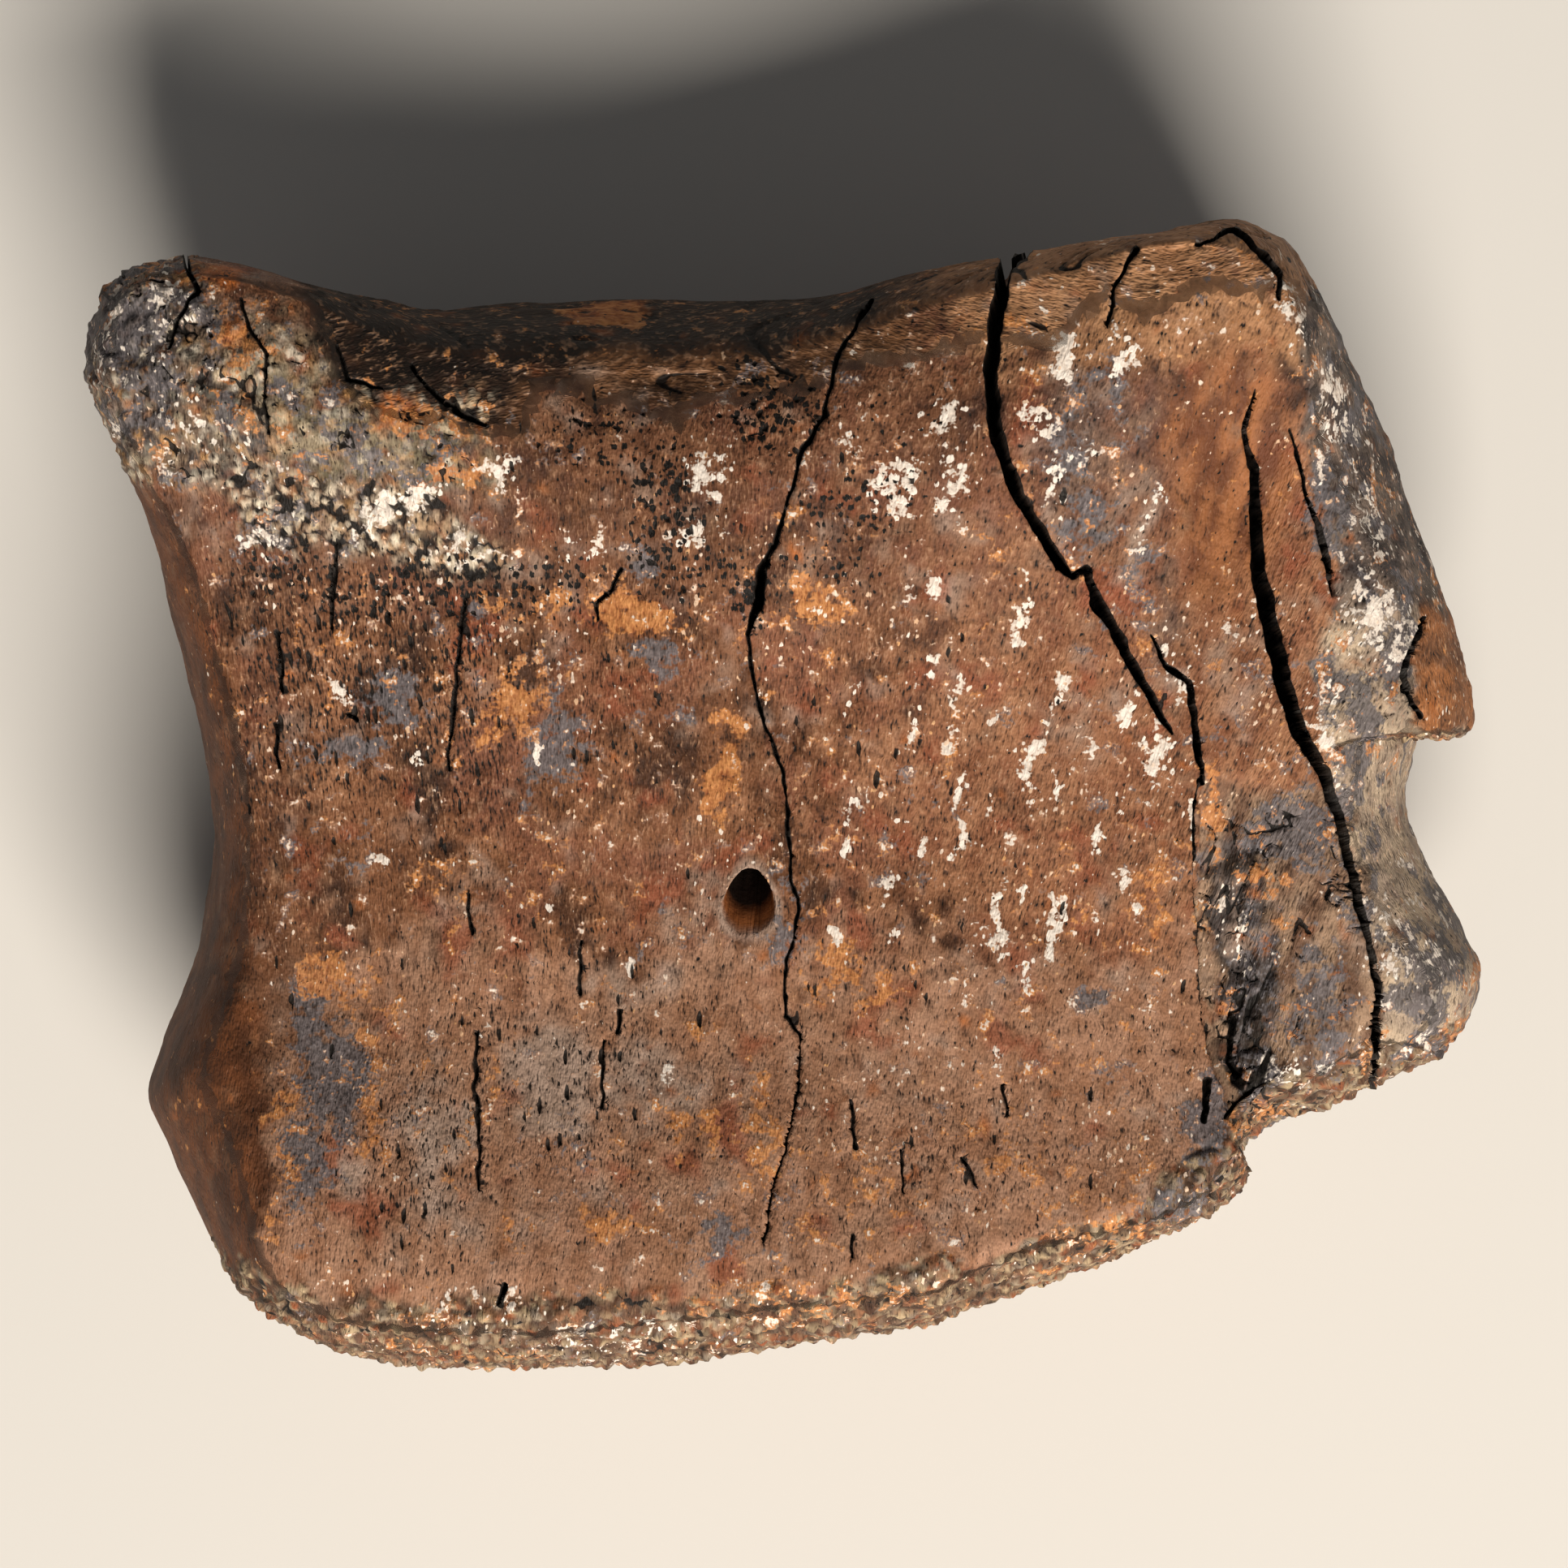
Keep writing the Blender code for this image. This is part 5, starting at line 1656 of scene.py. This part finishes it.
@dataclass(frozen=True)
class FossilBone:
    """Mineralised bone, weathered out of the rock and never polished.

    It is dry, dense and matt, so the eye gets warm browns with a faint sheen at most. Iron left the ochre and
    rust, manganese the slate-grey and lime the dull white chalk, rougher than the bone. The near-black over
    the tip edge is painted shade, as that edge turns away from the key light, and so is the black in cracks,
    slits and pores.
    Threads along the old fibres give it a grain. Colours are as a screen shows them and sizes are in
    millimetres.
    """

    browns: tuple[str, ...] = ("#2f1a0e", "#50301b", "#6f462b", "#7d5237", "#96694a")
    crumb_tints: tuple[str, ...] = (
        "#2b1d13", "#64462f", "#7d7063", "#ab9575", "#3c2a1e", "#84492a", "#8d7358", "#1d130c",
    )
    nodule_tints: tuple[str, ...] = ("#c9b595", "#8d6c4e", "#d8cbb4", "#a39684", "#7d5232")
    mottle_tints: tuple[str, ...] = (
        "#8f8a7c", "#3d352f", "#c9b99c", "#9c6233", "#6a6058", "#d6c9b4", "#4a4644", "#b98a55", "#2b2521",
    )
    washes: tuple[Wash, ...] = (
        Wash("rosy", "#83523c", "#6c4029", 0.65, 0.5, True),
        Wash("warm", "#7f5036", "#96684a", 0.75, 0.5, True),
        Wash("upper", "#59382a", "#6b4731", 0.42, 0.6, True),
        Wash("low", "#a67f66", "#8b634a", 0.78, 0.6, True),
        Wash("rust", "#8a4c33", "#74391f", 0.75, 0.7, True),
        Wash("shade", "#462815", "#5c3820", 0.7, 0.6, True),
        # Darker brown of the layered tip edge: partly its own colour, partly painted shade.
        Wash("tip_band_brown_and_shade", "#412915", "#654429", 0.85, 0.5),
        Wash("haze", "#453530", "#5f4a3e", 0.8, 0.6, True),
        # Painted fill light: a lighter brown on the right of the tip edge, which faces away from the key
        # light.
        Wash("painted_tip_light", "#a87c58", "#8f6544", 0.85, 0.5),
        Wash("pit", "#57301a", "#8e5934", 0.86, 0.3, True),
        Wash("flank", "#472610", "#683b1d", 0.96, 0.2),
        Wash("ash", "#5f5844", "#8f8169", 0.92, 0.7),
        Wash("knob", "#403c3d", "#675647", 0.92, 0.6),
        Wash("plate", "#655950", "#353233", 0.96, 0.3),
        Wash("low_plate", "#baa58c", "#9b8876", 0.92, 0.5),
        Wash("broken", "#967b64", "#5f4636", 0.92, 0.5, True),
        Wash("scar", "#15110f", "#4a4443", 0.96, 0.5, True),
        Wash("pale", "#a48d7e", "#8b7566", 0.9, 0.45, True),
        Wash("flake", "#93592c", "#6b4020", 0.95, 0.4),
        Wash("crumb", "#2c1d13", "#4e3728", 0.92, 0.6),
        # Near-black painted shade over the tip edge, which turns away from the key light.
        Wash("painted_tip_shade", "#0d0703", "#23160d", 0.96, 0.5),
        Wash("nodule_bed", "#20130b", "#3c2718", 0.92, 0.3),
        # Real orange stain, brightened as painted light where the tip edge lies in shade.
        Wash("iron_stain_and_painted_light", "#c8702e", "#8a4a22", 0.85, 0.6),
    )
    # The chalk comes last, because the roughness follows the last stain.
    stains: tuple[Stain, ...] = (
        Stain("slate", "#343031", "#716c6f", 3.2, 0.48, 0.88),
        Stain("ochre", "#7d401c", "#cd8d52", 3.8, 0.6, 0.82),
        Stain("chalk", "#bfae9f", "#dcd2c7", 5.0, 0.9, 0.95),
    )
    speck_white: str = "#ded4c9"
    speck_cream: str = "#c08e5c"
    # Near-black painted shade of the small pores.
    opening: str = "#0b0603"
    specks: tuple[Speck, ...] = (
        Speck("chalk", 1.1, 1.0, 0.8, 8.0, False, 2),
        Speck("speckle", 0.46, 1.02, 0.95, 8.0, False, 0),
        Speck("spongy", 1.0, 0.8, 0.6, 9.0, True, 1),
    )
    light_threads: Cover = Cover(1.0, 1.32, 0.6, "#b98f70")
    dark_threads: Cover = Cover(0.92, 0.62, 0.9, "#28150b")
    # Near-black painted shade in the slits along the threads.
    painted_slit_shade: Cover = Cover(0.29, 0.24, 0.97, "#0b0603")
    # Painted shade in the openings: near-black in cracks, pores, slits and the gaps between grains, and in the
    # deep part of the nutrient hole below the brown of its wall.
    openings: tuple[tuple[str, Cover], ...] = (
        ("gap", Cover(0.035, 0.0, 0.97, "#0b0603")),
        ("hole", Cover(0.0, 0.1, 0.95, "#8f5226")),
        ("hole", Cover(0.14, 0.3, 0.98, "#0b0603")),
    )

    # Dry stone: typical roughness and IOR, and a gloss below the usual half because dust dulls it.
    roughness: float = 0.72
    chalk_roughness: float = 0.85
    ior: float = 1.5
    gloss: float = 0.28
    stain_edge: float = 0.12
    # A patch that crumbles off, a thread of fibre and the cell that may hold a speck. Real threads are about
    # 0.1 mm wide, which is less than a pixel of the render, so they are drawn nearly twice as wide.
    crumble_size: float = 1.5
    thread_size: Sizes = (0.17, 0.68, 0.36)
    speck_cell: Sizes = (0.46, 0.62, 0.5)
    thread_bump: float = 0.18
    grain_pull: float = 0.9
    mottle: tuple[float, float] = (0.66, 1.24)

    # Streaks, fine grain, spots and clouds of the broad colours.
    streaks: tuple[Swell, ...] = (Swell(1.0, (0.9, 5.0, 2.0), 500), Swell(0.8, (0.5, 2.2, 1.1), 540))
    pit_streak: Swell = Swell(0.9, (0.4, 9.0, 3.0), 580)
    fine: Swell = Swell(1.0, 1.6, 600, 2)
    spot: Swell = Swell(1.0, 2.4, 700, 3)
    cloud: Swell = Swell(0.5, 5.5, 400, 2)
    layer: Swell = Swell(0.55, (0.55, 4.5, 1.5), 900)
    brown_level: float = 0.48
    covers: Ramp = Ramp(0.25, 0.75)

    def paint(self, fields: Fields, fibres: Fibres, points: Array, masks: Masks) -> Array:
        """Broad colour at each point: browns picked by clouds and streaks along the fibres, then each wash
        where its mask, roughened by a fine random field, is strong, and last the grains, tinted one by one.

        Args:
            fields: the random fields.
            fibres: the way that the fibres run.
            points: places on the skin.
            masks: strength of each wash.

        Returns:
            Linear colours, three columns.
        """
        way = fibres.way(points)
        streak = sum(swell.on(fields.fibres, way) for swell in self.streaks)
        streak += masks["pit"] * self.pit_streak.on(fields.fibres, way)
        fine = self.fine.on(fields.patches, points)
        spotted = Ramp(-0.35, 0.35).of(self.spot.on(fields.patches, points))
        streaked = Ramp(-0.4, 0.4).of(streak + 0.3 * fine)
        level = self.brown_level + self.cloud.on(fields.patches, points) + 0.32 * streak + 0.26 * fine
        colour = pick_tint(self.browns, level)
        for wash in self.washes:
            tone = (streaked if wash.streaked else spotted)[:, None]
            main, other = (np.array(to_linear(tint)[:3]) for tint in (wash.colour, wash.cloud))
            share = wash.share * self.covers.of(masks[wash.mask] + wash.ragged * fine)
            colour += share[:, None] * (main + (other - main) * tone - colour)
        # The tip edge is built up of thin layers, each a little lighter or darker than the next.
        colour *= 1 + (masks["top"] * self.layer.on(fields.fibres, fibres.along_tip(points)))[:, None]
        grains = {"mottle": self.mottle_tints, "crumb": self.crumb_tints, "nodule": self.nodule_tints}
        for kind, tints in grains.items():
            mask = masks[f"{kind}_grains"]
            here = np.flatnonzero(mask[:, 0] > 0)
            cover, luck = mask[here].T
            colour[here] += cover[:, None] * (pick_tint(tints, luck) - colour[here])
        return colour

    def build(self) -> bpy.types.Material:
        """Makes the material.

        Returns:
            The material.
        """
        material = bpy.data.materials.new("fossil_bone_weathered")
        material.use_nodes = True
        tree = material.node_tree
        ground = self.prepare(tree)
        colour = add_node(tree, Kind.FACT, attribute_name="ground")["Color"]
        colour = self.draw_threads(ground, colour)
        low, high = self.mottle
        mottle = add_node(tree, Kind.RAMP, {"Value": ground.grainy, "From Min": low, "From Max": high})[0]
        for stain in self.stains:
            factor, colour = self.lay(ground, stain, mottle, colour)
        colour = self.sprinkle(ground, colour)
        # Painted shade: the openings are painted near-black.
        for fact, cover in self.openings:
            colour = cover.lay(tree, ground.facts[fact], colour)
        bump = {"Strength": 1.0, "Distance": self.thread_bump * MM, "Height": ground.grainy}
        shader = tree.nodes["Principled BSDF"].inputs
        dry = add_node(tree, Kind.MIX, {0: factor, 2: self.roughness, 3: self.chalk_roughness})[0]
        tree.links.new(colour, shader["Base Color"])
        tree.links.new(dry, shader["Roughness"])
        tree.links.new(add_node(tree, Kind.BUMP, bump)[0], shader["Normal"])
        shader["Metallic"].default_value = 0.0
        shader["IOR"].default_value = self.ior
        shader["Specular IOR Level"].default_value = self.gloss
        return material

    def prepare(self, tree: bpy.types.NodeTree) -> Ground:
        """Reads the facts about each point and makes the two noises that all later steps use.

        Args:
            tree: the material's nodes.

        Returns:
            All of them.
        """
        facts = {}
        for name, kinds in ATTRIBUTES.items():
            packed = add_node(tree, Kind.FACT, attribute_name=name)["Vector"]
            facts |= dict(zip(kinds, add_node(tree, Kind.PARTS, {0: packed})))
        place = add_node(tree, Kind.PLACE)["Object"]
        way = add_node(tree, Kind.FACT, attribute_name="way")["Vector"]
        drawn_out = add_node(tree, Kind.VECTOR_MATHS, {0: way, 1: self.thread_size}, operation="DIVIDE")[0]
        noise = {"Vector": drawn_out, "Scale": 1.0, "Detail": 1.0, "Roughness": 0.6}
        threads = add_node(tree, Kind.NOISE, noise)[0]
        noise = {"Vector": place, "Scale": 1 / (self.crumble_size * MM), "Detail": 3.0, "Roughness": 0.75}
        crumble = add_node(tree, Kind.NOISE, noise)[0]
        both = {0: crumble, 1: 0.9, 2: threads}
        grainy = add_node(tree, Kind.MATHS, both, operation="MULTIPLY_ADD")[0]
        return Ground(tree, facts, way, threads, crumble, grainy)

    def lay(self, ground: Ground, stain: Stain, mottle: Socket, colour: Socket) -> tuple[Socket, Socket]:
        """Lays one stain over the colour below: its mask, eaten into by the crumbling grain, and its flecks.

        Args:
            ground: what the steps share.
            stain: the stain.
            mottle: where it has flecks.
            colour: the colour below.

        Returns:
            How much it covers, and the colour that results.
        """
        tree, centre = ground.tree, 0.5 * stain.ragged + stain.bare
        eaten = {0: ground.crumble, 1: stain.ragged, 2: ground.facts[stain.mask]}
        span = {
            "Value": add_node(tree, Kind.MATHS, eaten, operation="MULTIPLY_ADD")[0],
            "From Min": centre - self.stain_edge,
            "From Max": centre + self.stain_edge,
            "To Max": stain.share,
        }
        factor = add_node(tree, Kind.RAMP, span)[0]
        flecks = {0: mottle, 6: to_linear(stain.colour), 7: to_linear(stain.fleck)}
        tint = add_node(tree, Kind.MIX, flecks, data_type="RGBA")[2]
        return factor, add_node(tree, Kind.MIX, {0: factor, 6: colour, 7: tint}, data_type="RGBA")[2]

    def draw_threads(self, ground: Ground, colour: Socket) -> Socket:
        """Fine light and dark threads along the fibres, the dark ones opening into slits, painted near-black
        as painted shade, where there are any.

        Args:
            ground: what the steps share.
            colour: the colour below.

        Returns:
            The colour that results.
        """
        tree, slits, smooth = ground.tree, ground.facts["slits"], ground.facts["smooth"]
        deeper = {0: slits, 1: -0.07, 2: ground.grainy}
        deeper = add_node(tree, Kind.MATHS, deeper, operation="MULTIPLY_ADD")[0]
        colour = self.light_threads.lay(tree, ground.grainy, colour, smooth)
        colour = self.dark_threads.lay(tree, deeper, colour, smooth)
        slit = {0: slits, 1: -0.1, 2: ground.threads}
        slit = add_node(tree, Kind.MATHS, slit, operation="MULTIPLY_ADD")[0]
        return self.painted_slit_shade.lay(tree, slit, colour)

    def sprinkle(self, ground: Ground, colour: Socket) -> Socket:
        """Specks of mineral, flakes of chalk and tiny pores painted near-black as painted shade, one to a
        small cell here and there.

        Args:
            ground: what the steps share.
            colour: the colour below.

        Returns:
            The colour that results.
        """
        tree = ground.tree
        cell = add_node(tree, Kind.VECTOR_MATHS, {0: ground.way, 1: self.speck_cell}, operation="DIVIDE")[0]
        cells = add_node(tree, Kind.CELLS, {"Vector": cell, "Scale": 1.0}, voronoi_dimensions="2D")
        luck = add_node(tree, Kind.CHANNELS, {0: cells["Color"]})
        # A speck grows where the grain is light and a pore where it is dark, which also makes them ragged.
        distances = []
        for pull in (-self.grain_pull, self.grain_pull):
            pulled = {0: ground.grainy, 1: pull, 2: cells["Distance"]}
            distances.append(add_node(tree, Kind.MATHS, pulled, operation="MULTIPLY_ADD")[0])
        shades = {0: luck[2], 6: to_linear(self.speck_white), 7: to_linear(self.speck_cream)}
        white = add_node(tree, Kind.MIX, shades, data_type="RGBA")[2]
        tints = {"chalk": to_linear(self.speck_white), "speckle": white, "spongy": to_linear(self.opening)}
        for speck in self.specks:
            # Edge of the speck: sharpness times (size less distance), cut off at 0 and 1.
            shift = 0.95 * self.grain_pull * (1 if speck.dark else -1)
            raised = {0: ground.facts[speck.fact], 1: speck.counts, 2: luck[speck.channel]}
            size = {
                0: add_node(tree, Kind.MATHS, raised, operation="MULTIPLY_ADD")[0],
                1: speck.growth * speck.sharpness,
                2: speck.sharpness * (shift - speck.growth * speck.passes),
            }
            size = add_node(tree, Kind.MATHS, size, operation="MULTIPLY_ADD")[0]
            edge = {0: distances[speck.dark], 1: -speck.sharpness, 2: size}
            factor = add_node(tree, Kind.MATHS, edge, operation="MULTIPLY_ADD", use_clamp=True)[0]
            tint = tints[speck.fact]
            colour = add_node(tree, Kind.MIX, {0: factor, 6: colour, 7: tint}, data_type="RGBA")[2]
        return colour


class ToeBone:
    """The fossil toe bone: builds its skin from the form and the weathering, and dresses it."""

    NAME = "toe_bone_skin"
    MOST_TRIANGLES = 196_000

    def __init__(self, finish: FossilBone) -> None:
        """Keeps the rules that the skin is made by.

        Args:
            finish: colours of the bone.
        """
        self.finish, self.fields = finish, Fields()
        self.form, self.sight, self.fibres = BoneForm(), Sight(), Fibres()
        self.cracks, self.hole, self.wear = CrackWork(), NutrientHole(), Weathering()

    def crack_open(self, skin: Skin, seen: Array, in_sight: Array, gap: Array) -> tuple[Array, Array, Array]:
        """Opens the large cracks. Their walls go straight down from the back and into the bone on the flanks.

        Args:
            skin: the smooth surface.
            seen: places as the camera sees them.
            in_sight: 1 where the camera sees the surface.
            gap: distance to the nearest small opening.

        Returns:
            The push of each point, the distance to the nearest opening of all, and 0 for each point that must
            not be thinned out, 1 for the others.
        """
        cracks = self.cracks
        level = cracks.lean * skin.points[:, 2]
        jagged = seen
        for size, reach in cracks.jags:
            jagged = self.fields.warp(jagged, level, size, reach)
        found = cracks.measure(jagged)
        shift, drop, crack_gap = cracks.open_up(found)
        steep = Ramp(0.25, 0.0).of(skin.outward[:, 2])[:, None]
        inward = -(skin.outward * (0.15 + 0.85 * steep) + np.array((0, 0, 1)) * (1 - 0.7 * steep))
        inward /= np.linalg.norm(inward, axis=1)[:, None]
        push = inward * (drop * in_sight)[:, None]
        push[:, :2] += shift * in_sight[:, None]
        at_lip = (abs(crack_gap) < cracks.kept_whole) & (found.drop > cracks.deep) & (in_sight > 0.5)
        return push, np.minimum(gap, np.where(in_sight > 0.1, crack_gap, NO_GAP)), np.where(at_lip, 0.0, 1.0)

    def shape(self, skin: Skin) -> tuple[Array, Array, Masks]:
        """Moves the points of the skin by everything that weathered it.

        Args:
            skin: the smooth surface.

        Returns:
            The moved points in table millimetres, 0 for each that must not be thinned out and 1 for the
            others, and all that the material reads about each point.
        """
        points = skin.points
        in_sight, seen = self.sight.share(skin.below), self.sight.seen(points)
        masks = StainMap(self.fields, skin, self.sight).build()
        height, gap = Relief(self.fields, skin, seen, in_sight, masks).build()
        push, gap, free = self.crack_open(skin, seen, in_sight, gap)

        hidden = self.wear.hidden_crack
        course, closer = (swell.on(self.fields.hidden, points) for swell in (hidden.course, hidden.closer))
        hidden_gap = hidden.gap(course, closer, in_sight)
        height -= hidden.fall(hidden_gap)
        gap = np.minimum(gap, hidden_gap)

        tube, dug, lip = self.hole.dig(self.fields.warp(seen, points[:, 2], *self.hole.jag))
        at_hole = (in_sight > 0.5) & ((dug > 0) | (lip > 0.01))
        height = np.where(at_hole, height * (1 - np.maximum(lip, dug > 0)), height)
        gap = np.where(at_hole & (dug > 0), 1.0, gap)
        push[at_hole] += tube[at_hole]
        masks["pale"] = np.where(at_hole, np.maximum(masks["pale"], 0.75 * lip), masks["pale"])
        masks["smooth"] = np.maximum.reduce([masks["smooth"], 0.6 * masks["pale"], 0.28 * masks["low"]])

        moved = points + skin.outward * (height * self.wear.worn_flat.of(points[:, 2]))[:, None] + push
        moved[:, 2] = np.maximum(moved[:, 2], 0)
        masks |= {"gap": np.clip(gap, -0.6, 1.5), "hole": dug * at_hole}
        facts = {name: np.column_stack([masks[kind] for kind in kinds]) for name, kinds in ATTRIBUTES.items()}
        facts["way"] = self.grain_way(skin, masks["top"])
        facts["ground"] = self.finish.paint(self.fields, self.fibres, points, masks)
        return moved, free, facts

    def grain_way(self, skin: Skin, top: Array) -> Array:
        """Places across and along the grain that the material draws: along the fibres on the back and the
        sole, lengthwise on the flanks, across on the ends and in layers on the tip edge.

        Args:
            skin: the smooth surface.
            top: how much each point belongs to the tip edge.

        Returns:
            Three columns in millimetres, of which the third hardly changes along the surface.
        """
        steepest = np.abs(skin.outward).argmax(1)
        way = self.fibres.way(skin.points)
        way = np.where((steepest == 0)[:, None], skin.points[:, (2, 1, 0)], way)
        way = np.where((steepest == 1)[:, None], skin.points[:, (0, 2, 1)], way)
        return np.where(top[:, None] > 0.5, self.fibres.along_tip(skin.points), way)

    def mesh(self, points: Array, faces: Array, free: Array, facts: Masks) -> bpy.types.Object:
        """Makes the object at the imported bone's box, with its facts as attributes, and thins it out.

        Args:
            points: places in metres.
            faces: four corners of each face.
            free: 0 for each point that must not be thinned out.
            facts: three numbers for each point, by the name of the attribute.

        Returns:
            The finished object.
        """
        raw = bpy.data.meshes.new("raw_skin")
        raw.vertices.add(len(points))
        raw.vertices.foreach_set("co", points.ravel())
        raw.loops.add(faces.size)
        raw.loops.foreach_set("vertex_index", faces.ravel())
        raw.polygons.add(len(faces))
        raw.polygons.foreach_set("loop_start", np.arange(0, faces.size, 4))
        raw.update(calc_edges=True)
        for name, values in facts.items():
            raw.attributes.new(name, "FLOAT_VECTOR", "POINT").data.foreach_set("vector", values.ravel())
        dense = bpy.data.objects.new("raw_skin", raw)
        bpy.context.scene.collection.objects.link(dense)
        thin = dense.modifiers.new("thin_out", "DECIMATE")
        thin.ratio = self.MOST_TRIANGLES / (2 * len(faces))
        group = dense.vertex_groups.new(name="free")
        group.add(np.flatnonzero(free).tolist(), 1.0, "REPLACE")
        thin.vertex_group = group.name
        kept = bpy.data.meshes.new_from_object(dense.evaluated_get(bpy.context.evaluated_depsgraph_get()))
        bpy.data.objects.remove(dense)
        bpy.data.meshes.remove(raw)
        kept.name = self.NAME
        kept.shade_smooth()
        item = bpy.data.objects.new(self.NAME, kept)
        bpy.context.scene.collection.objects.link(item)
        return item

    def build(self) -> bpy.types.Object:
        """Builds the skin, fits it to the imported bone, ties it to the frame and gives it its material.

        Returns:
            The visual piece.
        """
        skin = self.form.build()
        moved, free, facts = self.shape(skin)
        low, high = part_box(NODE)
        base_low, base_high = skin.points.min(0), skin.points.max(0)
        scale = (np.array(high) - np.array(low)) / (base_high - base_low)
        item = self.mesh(np.array(low) + (moved - base_low) * scale, skin.faces, free, facts)
        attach(item, "root")
        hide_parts(NODE)
        item.data.materials.clear()
        item.data.materials.append(self.finish.build())
        return item


@dataclass(frozen=True)
class Studio:
    """A pale floor, soft light from the root end and a camera straight above, as in the photograph.

    Sizes and places are in metres.
    """

    floor_side: float = 3.0
    floor_colour: str = "#c9c7c3"
    floor_roughness: float = 0.9
    camera_place: Sizes = (-0.0006, 0.0005, 0.515)
    nearest: float = 0.01
    lens: float = 150.0
    sensor: float = 36.0
    key_place: Sizes = (0.3, -1.15, 1.2)
    key_size: float = 0.9
    key_power: float = 56.0
    key_colour: str = "#fff6ea"
    fill_colour: str = "#ffffff"
    fill_strength: float = 0.12

    def build(self) -> None:
        """Sets up the floor, the lights and the camera."""
        self.lay_floor()
        self.light()
        self.point_camera()

    def lay_floor(self) -> None:
        """A large flat square under the bone."""
        half = self.floor_side / 2
        mesh = bpy.data.meshes.new("studio_floor")
        corners = [(-half, -half, 0), (half, -half, 0), (half, half, 0), (-half, half, 0)]
        mesh.from_pydata(corners, [], [(0, 1, 2, 3)])
        floor = bpy.data.objects.new("studio_floor", mesh)
        bpy.context.scene.collection.objects.link(floor)
        material = bpy.data.materials.new("studio_floor")
        material.use_nodes = True
        shader = material.node_tree.nodes["Principled BSDF"].inputs
        shader["Base Color"].default_value = to_linear(self.floor_colour)
        shader["Roughness"].default_value = self.floor_roughness
        mesh.materials.append(material)

    def light(self) -> None:
        """One soft key light, low from the root end, and an even fill from all round."""
        lamp = bpy.data.lights.new("key_light", "AREA")
        lamp.size = self.key_size
        lamp.energy = self.key_power
        lamp.color = to_linear(self.key_colour)[:3]
        key = bpy.data.objects.new("key_light", lamp)
        key.location = self.key_place
        key.rotation_euler = (-Vector(self.key_place)).to_track_quat("-Z", "Y").to_euler()
        bpy.context.scene.collection.objects.link(key)
        world = bpy.data.worlds.new("studio_air")
        world.use_nodes = True
        air = world.node_tree.nodes["Background"].inputs
        air["Color"].default_value = to_linear(self.fill_colour)
        air["Strength"].default_value = self.fill_strength
        bpy.context.scene.world = world

    def point_camera(self) -> None:
        """The camera looks straight down, with the tip of the toe at the top of the picture."""
        lens = bpy.data.cameras.new("camera")
        lens.lens = self.lens
        lens.sensor_width = self.sensor
        lens.clip_start = self.nearest
        camera = bpy.data.objects.new("camera", lens)
        camera.location = self.camera_place
        bpy.context.scene.collection.objects.link(camera)
        bpy.context.scene.camera = camera
        bpy.context.scene.view_settings.view_transform = "Standard"


def main() -> None:
    """Builds the bone and the studio."""
    logging.basicConfig(level=logging.INFO, format="%(message)s")
    item = ToeBone(FossilBone()).build()
    logging.info("%s: %d faces", item.name, len(item.data.polygons))
    Studio().build()
    logging.info("studio: floor, lights and camera")
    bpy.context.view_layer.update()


if __name__ == "__main__":
    main()
